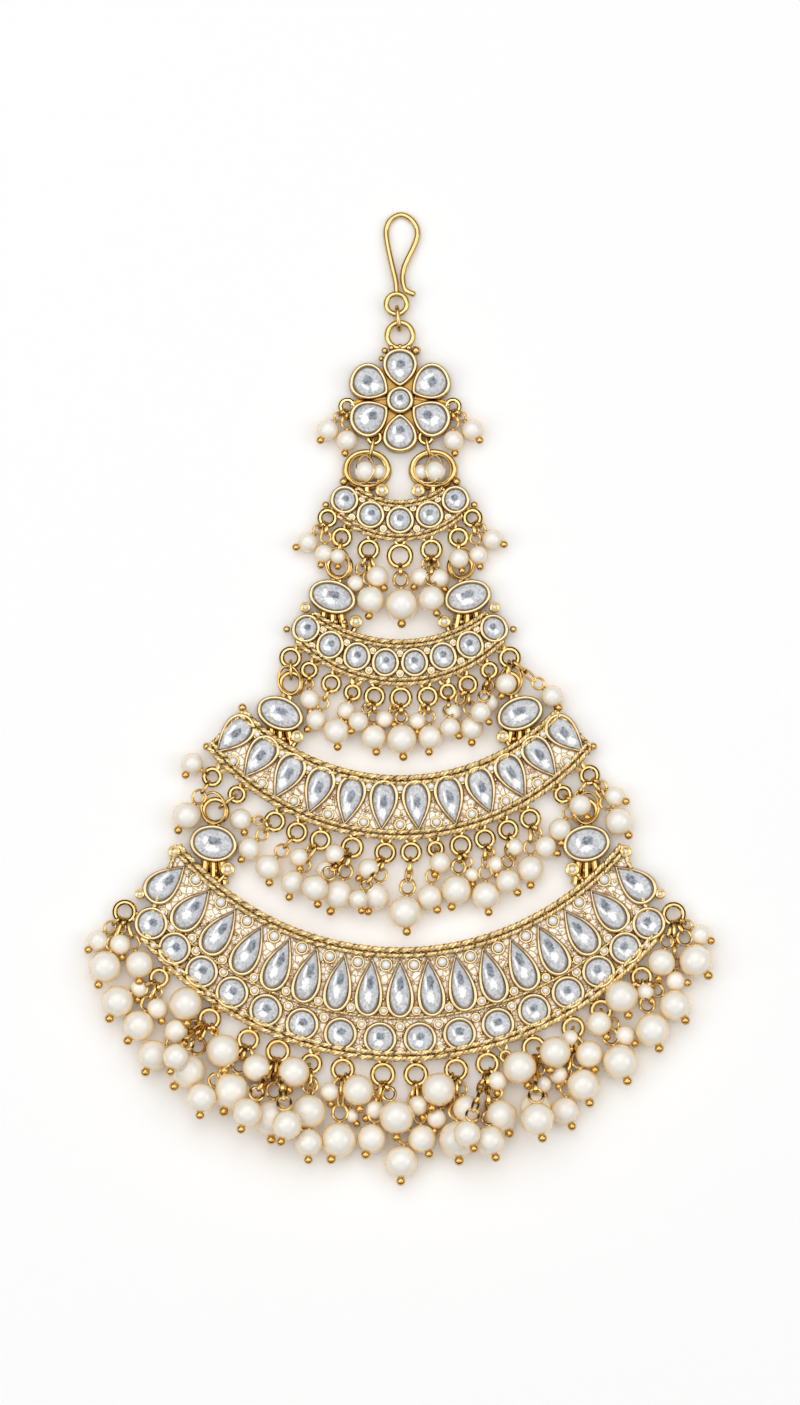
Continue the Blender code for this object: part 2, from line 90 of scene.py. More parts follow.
# Loops that carry the next crescent: side offset, height, radius, by crescent
CARRIERS = {
    1: (10.2, 28.0, 1.46),
    2: (19.1, 6.9, 1.55),
    3: (28.4, -17.0, 1.25),
}

# Seed pearls in cups, in the gaps of a row of stones: crescent, its row, the reach from the row's
# arc, size
SEED_ROWS = [
    (1, 0, -1.9, 0.8),
    (1, 0, 1.75, 0.9),
    (2, 0, -1.7, 0.85),
    (2, 0, 1.8, 0.95),
    (3, 0, -3.1, 1.3),
    (3, 0, 3.2, 1.6),
    (4, 0, -4.1, 1.85),
    (4, 0, 3.9, 1.2),
    (4, 1, -2.2, 1.25),
    (4, 1, 2.2, 1.15),
]

# Small round bezels and granules on the edges: side offset, height, size, by crescent
KNOBS = {
    1: [(3.15, 36.2, 2.2), (9.9, 37.8, 1.5), (13.0, 33.7, 1.3)],
    2: [(16.5, 15.7, 1.7), (7.7, 13.2, 2.1), (19.8, 11.9, 1.3)],
    3: [(27.5, -1.8, 1.5), (17.9, -6.9, 2.1), (33.7, -8.6, 1.4)],
    4: [(30.0, -30.1, 2.3), (39.3, -27.0, 2.0), (45.3, -34.4, 1.6), (36.4, -29.2, 1.2)],
}

# The thickness of each crescent's ropes, and the row of the fourth one's thin rope between its
# stones: radius, centre height, half spread in degrees
ROPE_THICK = {1: 0.85, 2: 0.95, 3: 1.1, 4: 1.15}
MIDDLE_ROPE = (57.1, 1.1, 48.5)

# Grains of the ground: their spacing, the share of the places that have one, the least size and
# what chance adds to it
GRAIN_STEP = 0.62
GRAIN_SHARE = 0.4
GRAIN_SIZE = (0.3, 0.3)

# Loops of the lower edges, a row for each: angle, the centre's reach past the edge, radius, the
# frame's node or none, then its pearls: angle, fall past the edge, size, turn of the head's ball
DROPS = {1: [
    (-45.3, 1.3, 1.35, 1, [(-44.0, 6.8, 3.5, -65), (-37.1, 6.4, 3.3, -15)]),
    (-16.9, 2.4, 1.55, 2, [(-11.5, 10.9, 4.8, -5), (-9.9, 6.6, 3.8, 30), (-18.1, 8.7, 3.0, -35)]),
    (0.0, 2.7, 1.9, 3, [(0.0, 11.3, 5.7, 0)]),
    (16.9, 2.4, 1.55, 4, [(11.5, 10.9, 4.5, 20), (8.7, 6.6, 3.3, -30), (16.6, 7.6, 3.4, 25)]),
    (45.3, 1.3, 1.35, 5, [(44.8, 6.4, 3.6, 65), (36.4, 6.5, 3.3, 10)]),
], 2: [
    (-34.8, 2.3, 1.2, 1, [(-30.6, 6.6, 3.5, 5)]),
    (-25.5, 2.4, 1.4, 2, [(-25.5, 9.3, 3.6, -40)]),
    (-17.2, 2.5, 1.2, 3, [(-19.3, 9.9, 4.6, 5), (-17.2, 6.4, 3.3, 0)]),
    (-9.2, 2.3, 1.5, 4, [(-7.6, 9.4, 4.4, 10), (-13.5, 7.8, 3.5, -35)]),
    (0.3, 2.2, 1.6, 5, [(0.5, 9.5, 5.2, 5), (-4.9, 6.5, 3.1, 60)]),
    (10.0, 2.4, 1.5, 6, [(8.2, 9.5, 4.3, -5), (5.4, 6.4, 3.0, 0)]),
    (17.4, 2.4, 1.2, 7, [(13.8, 8.6, 3.5, 45)]),
    (25.0, 2.5, 1.4, 8, [(19.8, 9.8, 4.2, 0), (17.1, 6.1, 3.0, 15)]),
    (34.3, 2.2, 1.2, 9, [(28.5, 7.0, 3.4, -35), (24.8, 8.0, 3.6, 40)]),
], 3: [
    (-45.1, 2.8, 1.4, 1, [(-43.3, 10.8, 4.9, -30), (-50.1, 3.8, 3.8, -30)]),
    (-28.4, 2.5, 1.5, 2, [(-30.2, 8.8, 3.9, -35), (-34.7, 5.3, 3.8, 15)]),
    (-23.0, 2.5, 1.5, 3, [(-25.4, 10.2, 4.5, 5)]),
    (-17.6, 2.4, 1.5, 4, [(-20.0, 11.0, 4.3, -15), (-20.7, 6.4, 3.3, 5)]),
    (-10.5, 2.3, 1.6, 5, [(-11.4, 10.9, 5.4, -25), (-15.8, 10.9, 4.7, 10), (-15.0, 7.2, 3.1, 0),
        (-14.3, 4.7, 3.5, 5)]),
    (-3.2, 2.5, 1.5, 6, [(-4.6, 10.3, 4.8, -25), (-7.6, 11.2, 3.3, 15), (-6.4, 5.6, 3.8, -45)]),
    (2.4, 2.4, 1.5, 7, [(0.9, 12.9, 5.7, 5)]),
    (7.8, 2.2, 1.15, None, [(5.5, 10.4, 4.4, 30), (8.4, 4.7, 3.7, -25)]),
    (13.4, 2.4, 1.6, 8, [(10.6, 9.9, 5.2, -15), (13.5, 8.2, 2.6, 5)]),
    (18.8, 2.5, 1.5, 9, [(15.0, 12.0, 4.9, 10), (19.3, 7.3, 3.0, 5)]),
    (24.2, 2.5, 1.5, 10, [(19.6, 10.9, 4.2, 40), (24.0, 5.7, 3.1, -10)]),
    (29.6, 2.5, 1.5, 11, [(25.0, 10.4, 4.7, 0), (29.5, 8.1, 3.8, 60)]),
    (45.6, 2.8, 1.4, 12, [(43.3, 12.2, 4.9, 35), (46.1, 8.5, 3.5, 65), (33.7, 6.8, 4.0, 5)]),
], 4: [
    (-55.6, -0.5, 1.7, 1, [(-50.4, 8.0, 5.6, -20), (-54.3, 6.2, 3.7, -45), (-51.7, 3.5, 3.7, 10),
        (-47.2, 3.2, 4.9, 0)]),
    (-43.4, 2.4, 1.4, 2, [(-45.4, 10.4, 5.6, -25), (-44.6, 6.2, 3.1, -5), (-40.8, 11.0, 5.4, -35),
        (-40.4, 6.6, 3.7, 20)]),
    (-36.9, 2.2, 0.9, None, [(-36.8, 3.7, 5.8, 5)]),
    (-32.8, 2.6, 1.6, 3, [(-31.4, 12.3, 6.1, -40), (-33.7, 11.4, 4.5, -20), (-36.8, 13.0, 5.4, -25),
        (-36.0, 7.7, 4.2, 35), (-28.4, 6.2, 5.9, 5)]),
    (-25.6, 2.5, 1.6, 4, [(-24.6, 11.9, 6.4, -20), (-27.3, 14.3, 5.1, -5), (-22.6, 6.4, 4.9, 20)]),
    (-20.4, 2.3, 1.75, 5, [(-18.0, 13.7, 6.4, 0), (-15.6, 14.1, 5.2, -20), (-21.3, 14.3, 5.1, -20),
        (-21.3, 9.9, 2.6, 5)]),
    (-14.6, 2.6, 1.5, 6, [(-13.2, 10.9, 6.1, -20), (-11.6, 15.5, 4.9, 0), (-16.9, 4.9, 5.5, -15)]),
    (-9.4, 2.5, 1.7, 7, [(-8.4, 14.7, 6.2, -20), (-7.1, 10.2, 2.6, 35), (-10.8, 6.7, 3.4, 5),
        (-6.5, 5.7, 5.5, 5)]),
    (-2.8, 2.6, 1.8, 8, [(-3.9, 13.8, 5.1, -20), (-3.8, 8.8, 3.3, -45), (-0.5, 10.0, 6.0, 0)]),
    (2.6, 2.6, 1.75, 9, [(0.1, 17.7, 5.7, 0), (3.0, 13.8, 4.9, 25), (2.7, 8.0, 3.6, 20)]),
    (9.2, 2.5, 1.7, 10, [(7.8, 14.5, 6.4, 5), (5.3, 10.5, 3.5, -10), (9.8, 9.5, 4.8, 5),
        (6.0, 5.5, 5.9, -20)]),
    (14.4, 2.6, 1.7, 11, [(14.4, 12.0, 5.7, 25), (12.6, 14.9, 5.2, 20), (9.2, 13.9, 4.7, 25),
        (15.2, 5.9, 3.5, 0)]),
    (17.6, 2.2, 0.9, None, [(19.0, 5.3, 5.9, 25)]),
    (22.4, 2.5, 1.75, 12, [(19.4, 12.3, 5.4, 0), (19.0, 14.4, 5.8, 15), (21.6, 9.0, 3.0, 5),
        (25.0, 5.2, 5.5, -15)]),
    (29.6, 2.4, 1.65, 13, [(26.8, 12.0, 5.6, 20), (24.7, 9.8, 3.3, 0), (23.3, 13.8, 4.9, 25),
        (29.5, 8.2, 4.8, 20), (28.4, 3.7, 3.0, 5)]),
    (35.0, 2.4, 1.6, 14, [(33.0, 11.7, 6.1, 20), (35.9, 9.1, 3.5, 50), (33.5, 4.1, 4.4, 30)]),
    (43.6, 2.4, 1.55, 15, [(39.4, 10.5, 5.9, 20), (43.9, 9.6, 5.4, 35), (42.4, 4.7, 3.1, 35),
        (39.3, 3.0, 5.8, 20)]),
    (55.1, -0.5, 1.7, 16, [(51.2, 7.4, 5.8, 40), (54.5, 5.6, 3.5, 60), (46.9, 7.0, 3.5, 80),
        (47.5, 3.1, 4.8, -10)]),
]}
# Crescents whose loops past an angle hang from the row's last stone
END_LOOPS = (1, 4)
END_ANGLE = 45
# Steps by which the frame's own pearls are looked for: up and to the side
LIFT_STEP = 0.25
SWINGS = (0.0, 0.3, -0.3, 0.6, -0.6)
# How far a pearl stays off the table, and how far two pearls may sink into each other
CLEAR = 0.02
# How far an added pearl may shift to lie lower, and the height it must gain for each millimetre
NUDGES = (0.0, 0.5, -0.5, 1.0, -1.0)
NUDGE_COST = 1.2

# Flower
FLOWER_Y = 52.0
FLOWER_DISC = 6.6
DISC_TOP = 1.5
# Side petals, then the top and bottom ones: reach of the middle, width, length
PETALS = [(6.05, 6.4, 7.1), (5.75, 6.0, 6.7)]
HEART_WIDE = 4.7
TOP_RING_Y = 63.5
TOP_RING = 2.25
# Grains under the top ring: side offset, height, size
TOP_GRAINS = [(-2.7, 60.8, 1.2), (2.8, 60.8, 1.7), (0.0, 61.6, 0.9), (-3.3, 59.4, 1.0),
              (1.5, 61.3, 1.1), (-1.5, 61.3, 1.1)]
# Loops at the side petals and at the lower ones: side offset, height, radius
EAR = (9.25, 51.0, 1.15)
LUG = (4.5, 45.57, 1.08)
# Pearls at the flower's side: side offset, height, size, turn of the head's ball
FLOWER_PEARLS = [(9.3, 45.0, 3.7, 8), (12.6, 46.9, 3.7, 35)]

# Big rings of the first crescent, and the pearls in them: side offset, height, size
BIG_RING = (5.8, 39.7, 3.33)
# The two thick wires of a big ring: place beside its middle, then what its half height and half
# width have over the radius, and the wire
BIG_RING_WIRES = [((0, 0.35, 0.2), -0.35, 0.4, 0.47), ((0, 0.1, -0.7), -0.3, 0.5, 0.52)]
RING_PEARLS = [(6.1, 39.5, 3.8), (3.8, 39.5, 2.7)]

# Pearls in the rings over the ovals and beside them: side offset, height, rise, size, turn of the
# head's ball, then the loop it hangs from: side offset and height
RING_DROPS = [
    (-10.85, 24.6, 2.5, 2.7, 0, -10.2, 28.0),
    (10.27, 24.2, 2.6, 3.5, 15, 10.2, 28.0),
    (18.5, 2.3, 2.7, 3.7, -20, 19.1, 6.9),
    (31.4, -18.95, 2.7, 3.85, 30, 28.4, -17.0),
    (26.5, 0.2, 2.0, 3.8, 30, 19.1, 6.9),
]

# Hook: its eye, the heights of eye and crown, the tail's rise at each of its last two points,
# then the wire's run from the eye round to the tail
EYE = (-0.6, 69.0, 1.8)
EYE_Z = 1.6
CROWN_Z = 0.5
TAIL_LIFT = 0.25
HOOK_RUN = [
    (-0.6, 70.9), (-0.8, 73.2), (-1.6, 76.7), (-2.3, 80.2), (-2.4, 82.3),
    (-1.6, 84.0), (0.2, 84.85), (2.0, 84.0), (3.0, 82.3), (2.8, 80.2),
    (1.2, 76.7), (0.6, 75.0), (0.5, 73.2), (1.0, 71.5), (2.6, 70.6),
]

# The camera looks down from a little below the jewel, along its length
CAMERA_RISE = 86.0
CAMERA_AWAY = 1.5
VIEW_HIGH = 0.2454
VIEW_MIDDLE = (0.0, -0.8)
SENSOR = 36.0

# Lights: name, place and size in metres, power
LIGHTS = [
    ("key", (-0.1, 0.27, 0.85), 0.85, 2.0),
    ("spark", (-0.05, 0.2, 0.9), 0.13, 0.16),
    ("left", (-0.7, -0.15, 0.55), 0.5, 1.1),
    ("right", (0.7, -0.05, 0.55), 0.5, 1.1),
]
# Greys of the surround by the sine of their height, 0 at the horizon and 1 straight above, then
# what is left of them along the jewel: its change towards the hook, and its middle
SURROUND = [(0.46, 0.05), (0.62, 1.0), (0.78, 1.1), (0.9, 1.0)]
SURROUND_LEAN = (0.3, 0.9)
SURROUND_POWER = 0.99

# The table: half its side and its drop below the jewel in metres, and its white
TABLE_HALF = 1.6
TABLE_DROP = 0.00005
TABLE_WHITE = 0.985


def put(name, data, place=(0, 0, 0), way=None):
    """An object in the scene, with its -Z along a way if there is one."""
    made = bpy.data.objects.new(name, data)
    made.location = place
    if way is not None:
        made.rotation_euler = way.to_track_quat("-Z", "Y").to_euler()
    bpy.context.scene.collection.objects.link(made)
    return made


def xyz(x, y, z=LOOP_Z):
    return np.array([x, y, z])


class Shape:
    """Gathers the points and faces of one piece, with a tone for each corner if it has any."""

    def __init__(self):
        self.points, self.faces, self.tones, self.count = [], [], [], 0

    def add(self, points, faces, tones=None):
        points = np.asarray(points, float)
        self.points.append(points)
        self.faces += [tuple(i + self.count for i in face) for face in faces]
        self.tones += tones or []
        self.count += len(points)

    def make(self, name, material, smooth=True, sharp=35, slot="gold", toned=False):
        mesh = bpy.data.meshes.new(name)
        points = (np.concatenate(self.points) + ORIGIN) * MM
        mesh.from_pydata(points.tolist(), [], self.faces)
        if smooth:
            mesh.shade_smooth()
            mesh.set_sharp_from_angle(angle=math.radians(sharp))
        if toned:
            layer = mesh.color_attributes.new("tone", "FLOAT_COLOR", "CORNER")
            tones = np.ones((len(mesh.loops), 4), np.float32)
            tones[:, :3] = [tone for face in self.tones for tone in face]
            layer.data.foreach_set("color", tones.ravel())
        mesh.materials.append(material)
        piece = put(name, mesh)
        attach(piece, "root")
        return piece


def unit(v):
    return v / max(1e-9, np.linalg.norm(v))


def grid_faces(rows, columns, closed_rows=False):
    """Quads between rings of points; the rings are closed, and so is their run if asked."""
    faces = []
    for i in range(rows if closed_rows else rows - 1):
        n = (i + 1) % rows
        for k in range(columns):
            m = (k + 1) % columns
            faces.append((i * columns + k, i * columns + m, n * columns + m, n * columns + k))
    return faces


def tube(shape, path, radius, sides=8, closed=False):
    """A round wire along a path; its radius may change along it."""
    path = np.asarray(path, float)
    count = len(path)
    radii = np.broadcast_to(np.asarray(radius, float), (count,))
    if closed:
        ways = np.roll(path, -1, 0) - np.roll(path, 1, 0)
    else:
        ways = np.gradient(path, axis=0)
    ways /= np.maximum(1e-9, np.linalg.norm(ways, axis=1))[:, None]
    first = np.cross(ways[0], [0, 0, 1.0])
    if np.linalg.norm(first) < 0.2:
        first = np.cross(ways[0], [0, 1.0, 0])
    side = unit(first)
    points = []
    turns = 2 * np.pi * np.arange(sides) / sides
    for point, way, r in zip(path, ways, radii):
        side = unit(side - way * side.dot(way))
        up = np.cross(way, side)
        points.append(point + r * (np.cos(turns)[:, None] * side + np.sin(turns)[:, None] * up))
    faces = grid_faces(count, sides, closed)
    if not closed:
        faces.append(tuple(range(sides))[::-1])
        faces.append(tuple((count - 1) * sides + k for k in range(sides)))
    shape.add(np.concatenate(points), [face[::-1] for face in faces])


def ring(shape, centre, radius, wire, normal=(0, 0, 1), rise=None, along=None, parts=24, sides=8):
    """A closed ring of wire, or an oval link with a second half size."""
    normal = unit(np.asarray(normal, float))
    along = xyz(0, 1.0, 0) if along is None else unit(np.asarray(along, float))
    along = unit(along - normal * along.dot(normal))
    across = np.cross(along, normal)
    rise = radius if rise is None else rise
    turns = 2 * np.pi * np.arange(parts) / parts
    path = (np.asarray(centre, float) + across * rise * np.cos(turns)[:, None]
            + along * radius * np.sin(turns)[:, None])
    tube(shape, path, wire, sides, True)


def ball(shape, centre, size, parts=20, rings=12):
    """A ball of a given size across."""
    r = size / 2
    falls = np.pi * np.arange(1, rings) / rings
    turns = 2 * np.pi * np.arange(parts) / parts
    body = np.stack([
        np.outer(np.sin(falls), np.cos(turns)),
        np.outer(np.sin(falls), np.sin(turns)),
        np.outer(np.cos(falls), np.ones(parts)),
    ], axis=-1).reshape(-1, 3) * r
    points = np.concatenate([body, [[0, 0, r], [0, 0, -r]]]) + centre
    faces = [f[::-1] for f in grid_faces(rings - 1, parts)]
    top, low = len(body), len(body) + 1
    last = (rings - 2) * parts
    for k in range(parts):
        n = (k + 1) % parts
        faces.append((k, n, top))
        faces.append((last + n, last + k, low))
    shape.add(points, faces)


def smooth_run(points, steps=8):
    """A Catmull-Rom run through chosen points."""
    p = np.asarray(points, float)
    last = len(p) - 1
    made = []
    for i in range(last):
        a, b, c, d = p[max(0, i - 1)], p[i], p[i + 1], p[min(last, i + 2)]
        for t in np.arange(steps) / steps:
            made.append(0.5 * (2 * b + (c - a) * t + (2 * a - 5 * b + 4 * c - d) * t * t
                               + (3 * b - a - 3 * c + d) * t ** 3))
    return np.array(made + [p[-1]])


def arc_point(arc, degrees, reach=0.0, z=0.0):
    radius, centre = arc[0] + reach, arc[1]
    turn = math.radians(degrees)
    return xyz(radius * math.sin(turn), centre - radius * math.cos(turn), z)


def arc_run(arc, most, reach, z, steps):
    return np.array([arc_point(arc, a, reach, z) for a in np.linspace(-most, most, steps + 1)])


def chord_angle(arc):
    return math.degrees(math.asin(arc[2] / arc[0]))


def rope(shape, run, thick, pitch, strands=2, sides=6):
    """Strands of wire twisted round a core along a run of points."""
    run = np.asarray(run, float)
    lengths = np.concatenate([[0], np.cumsum(np.linalg.norm(np.diff(run, axis=0), axis=1))])
    steps = int(lengths[-1] / pitch * 10)
    at = np.linspace(0, lengths[-1], steps)
    path = np.stack([np.interp(at, lengths, run[:, k]) for k in range(3)], axis=1)
    ways = np.gradient(path, axis=0)
    ways /= np.linalg.norm(ways, axis=1)[:, None]
    side = np.cross(ways, [0, 0, 1.0])
    up = np.cross(side, ways)
    wire = thick * 0.27
    reach = thick / 2 - wire
    tube(shape, path[::5], thick * 0.39, 8)
    for s in range(strands):
        turn = 2 * np.pi * (at / pitch + s / strands)
        tube(shape, path + reach * (np.cos(turn)[:, None] * side + np.sin(turn)[:, None] * up), wire, sides)


# How sharply a stone's outline draws in to its point along +Y
POINTED = {"round": 0.0, "oval": 0.0, "petal": 0.55, "pear": 1.15}


def outline(kind, wide, long, parts):
    """Points round a bezel, about its middle."""
    t = 2 * np.pi * np.arange(parts) / parts
    x = np.sin(t) * np.sin(t / 2) ** POINTED[kind]
    return np.stack([x * wide / 2 / x.max(), np.cos(t) * long / 2], axis=1)


def placed(flat, z, place, turn):
    c, s = math.cos(turn), math.sin(turn)
    x = flat[:, 0] * c - flat[:, 1] * s + place[0]
    y = flat[:, 0] * s + flat[:, 1] * c + place[1]
    return np.stack([x, y, np.full(len(flat), z)], axis=1)


# A bezel's section from its foot to the stone's seat: inset from its edge, and height
BEZEL = [(-0.12, 0.8), (-0.1, 2.1), (-0.02, 2.7), (0.03, 2.88), (0.12, 2.98), (0.28, 3.03),
         (0.45, 3.0), (0.55, 2.92), (0.61, 2.75), (0.66, 2.3)]
SEAT = 0.62

# Rings of a stone's facets: share of its half size, height, turn in facets
CROWN = [(1.0, 2.5, 0.0), (0.88, 2.84, 0.5), (0.66, 3.12, 0.0), (0.62, 3.14, 0.0), (0.38, 3.26, 0.5),
         (0.16, 3.32, 0.0)]


def bezel(shape, kind, wide, long, place, turn, lift=0.0, parts=40):
    rings = []
    for inset, z in BEZEL:
        flat = outline(kind, wide, long, parts) * [1 - 2 * inset / wide, 1 - 2 * inset / long]
        rings.append(placed(flat, z + lift, place, turn))
    shape.add(np.concatenate(rings), grid_faces(len(rings), parts))


def gem(shape, kind, wide, long, place, turn, chance, lift=0.0, parts=24):
    """A faceted stone that fills its bezel."""
    wide, long = wide - 2 * SEAT, long - 2 * SEAT
    base = outline(kind, wide, long, parts * 2)
    rings = []
    for share, z, shift in CROWN:
        flat = base[int(2 * shift)::2] * share
        rings.append(placed(flat, z + lift, place, turn))
    rings.append(np.array([[place[0], place[1], CROWN[-1][1] + lift]]))
    points = np.concatenate(rings)
    faces = []
    for i in range(len(CROWN) - 1):
        low, high = i * parts, (i + 1) * parts
        step = int(2 * (CROWN[i + 1][2] - CROWN[i][2]))
        for k in range(parts):
            n = (k + 1) % parts
            if step == 1:
                faces += [(low + k, low + n, high + k), (low + n, high + n, high + k)]
            elif step == -1:
                faces += [(low + k, high + n, high + k), (low + k, low + n, high + n)]
            else:
                faces.append((low + k, low + n, high + n, high + k))
    last = (len(CROWN) - 1) * parts
    faces += [(last + k, last + (k + 1) % parts, len(points) - 1) for k in range(parts)]
    up = 1 if math.cos(turn) > -0.01 else -1
    c, s = up * math.cos(turn), up * math.sin(turn)
    x, y = (points[:, :2] - np.asarray(place)[:2]).T
    p, q = (x * c + y * s) / wide + 0.5, (y * c - x * s) / long + 0.5
    tones = [[(p[i], q[i], chance[number]) for i in face] for number, face in enumerate(faces)]
    shape.add(points, [face[::-1] for face in faces], [tone[::-1] for tone in tones])


class Sums:
    """Short forms for making and joining the nodes of a material."""

    def __init__(self, tree):
        self.nodes, self.links = tree.nodes, tree.links

    def plug(self, value, socket):
        if isinstance(value, bpy.types.NodeSocket):
            self.links.new(value, socket)
        else:
            socket.default_value = value

    def place(self, name):
        return self.nodes.new("ShaderNodeTexCoord").outputs[name]

    def texture(self, kind, scale):
        """A texture node in the piece's own coordinates."""
        node = self.nodes.new(kind)
        self.plug(scale, node.inputs["Scale"])
        self.plug(self.place("Object"), node.inputs["Vector"])
        return node

    def split(self, kind, value):
        """The outputs of a node that splits a colour or a vector in three."""
        node = self.nodes.new("ShaderNodeSeparate" + kind)
        self.plug(value, node.inputs[0])
        return node.outputs

    def math(self, operation, *values):
        node = self.nodes.new("ShaderNodeMath")
        node.operation = operation
        for value, socket in zip(values, node.inputs):
            self.plug(value, socket)
        return node.outputs[0]

    def blob(self, p, q, at_p, at_q, wide_p, wide_q):
        """A soft spot: 1 in its middle, falling to 0."""
        dp = self.math("DIVIDE", self.math("SUBTRACT", p, at_p), wide_p)
        dq = self.math("DIVIDE", self.math("SUBTRACT", q, at_q), wide_q)
        square = self.math("ADD", self.math("MULTIPLY", dp, dp), self.math("MULTIPLY", dq, dq))
        return self.math("EXPONENT", self.math("MULTIPLY", square, -1.0))

    def step(self, value, low, high, to_low=0.0, to_high=1.0, bend="SMOOTHSTEP"):
        node = self.nodes.new("ShaderNodeMapRange")
        node.interpolation_type = bend
        for number, this in enumerate((value, low, high, to_low, to_high)):
            self.plug(this, node.inputs[number])
        return node.outputs[0]

    def mix(self, share, one, two):
        node = self.nodes.new("ShaderNodeMix")
        node.data_type = "RGBA"
        for value, name in ((share, "Factor"), (one, "A"), (two, "B")):
            if isinstance(value, tuple):
                value = (*value, 1)
            socket = [s for s in node.inputs if s.name == name and s.enabled][0]
            self.plug(value, socket)
        return [s for s in node.outputs if s.enabled][0]


# What gold keeps of the light at its edges
EDGE_TINT = (0.62, 0.42, 0.22)


def new_material(name, values):
    """A material, its Principled shader with some values set, and the short forms for its nodes."""
    made = bpy.data.materials.new(name)
    made.use_nodes = True
    shader = made.node_tree.nodes["Principled BSDF"]
    for socket, value in values.items():
        shader.inputs[socket].default_value = value
    return made, shader, Sums(made.node_tree)


def mixed_material(name, colours, roughness, metallic, bump=0.0, scale=400.0, coat=0.0, hollow_shade=None,
                   hollows=(0.5, 0.15, 0.65)):
    """A Principled surface whose colour and roughness wander a little, with painted shade in its hollows,
    which have a reach in millimetres and two openness values, where the painted shade is full and where none."""
    made, shader, sums = new_material(name, {"Metallic": metallic, "Coat Weight": coat,
                                             "Coat Roughness": 0.06})
    if metallic == 1.0:
        shader.inputs["Specular Tint"].default_value = (*EDGE_TINT, 1)
    noise = sums.texture("ShaderNodeTexNoise", scale)
    noise.inputs["Detail"].default_value = 4.0
    wander = noise.outputs["Fac"]
    ramp = sums.nodes.new("ShaderNodeValToRGB")
    for stop, at, shade in zip(ramp.color_ramp.elements, (0.35, 0.65), colours):
        stop.position, stop.color = at, (*shade, 1)
    sums.plug(wander, ramp.inputs["Fac"])
    colour = ramp.outputs["Color"]
    # Painted shade: an ambient occlusion mask darkens the colour to brown in hollows and between parts
    if hollow_shade is not None:
        hollow = sums.nodes.new("ShaderNodeAmbientOcclusion")
        hollow.inputs["Distance"].default_value = hollows[0] * MM
        hollow.samples = 8
        unshaded = sums.step(hollow.outputs["AO"], hollows[1], hollows[2], bend="LINEAR")
        colour = sums.mix(unshaded, hollow_shade, colour)
    sums.plug(colour, shader.inputs["Base Color"])
    sums.plug(sums.step(wander, 0.0, 1.0, *roughness, bend="LINEAR"), shader.inputs["Roughness"])
    if bump:
        lump = sums.nodes.new("ShaderNodeBump")
        lump.inputs["Strength"].default_value = bump
        lump.inputs["Distance"].default_value = 0.1 * MM
        sums.plug(wander, lump.inputs["Height"])
        sums.plug(lump.outputs["Normal"], shader.inputs["Normal"])
    return made


def tint(made, share, colour):
    """Turns a material's colour into another by a share; a share takes the material's short forms."""
    shader = made.node_tree.nodes["Principled BSDF"].inputs["Base Color"]
    sums = Sums(made.node_tree)
    sums.plug(sums.mix(share(sums), shader.links[0].from_socket, colour), shader)
    return made


def pearl_rim_reflection_share(sums):
    """The share of the painted warm reflection: 0 on top of a pearl, 1 round its sides."""
    return sums.step(sums.split("XYZ", sums.place("Normal"))["Z"], 0.2, 0.85, 1.0, 0.0)


def cell_recess_shade(sums):
    """Painted shade in the fine recesses between the cells of the filigree."""
    cells = sums.texture("ShaderNodeTexVoronoi", 850.0)
    cells.feature = "DISTANCE_TO_EDGE"
    return sums.step(cells.outputs["Distance"], 0.02, 0.11, 0.85, 0.0)


# Painted colours of a stone: reflections in its darkest and palest facets and its table, the dark reflection
# of its depth, its flash, and shade at its edge
FACET_REFLECTION_GREYS = ((0.40, 0.405, 0.42), (0.84, 0.845, 0.855))
TABLE_REFLECTION_GREY = (0.60, 0.63, 0.68)
DARK_REFLECTION_GREYS = ((0.09, 0.11, 0.15), (0.32, 0.345, 0.39))
FLASH_WHITE = (1.0, 1.0, 1.0)
EDGE_SHADE_BROWN = (0.20, 0.17, 0.14)


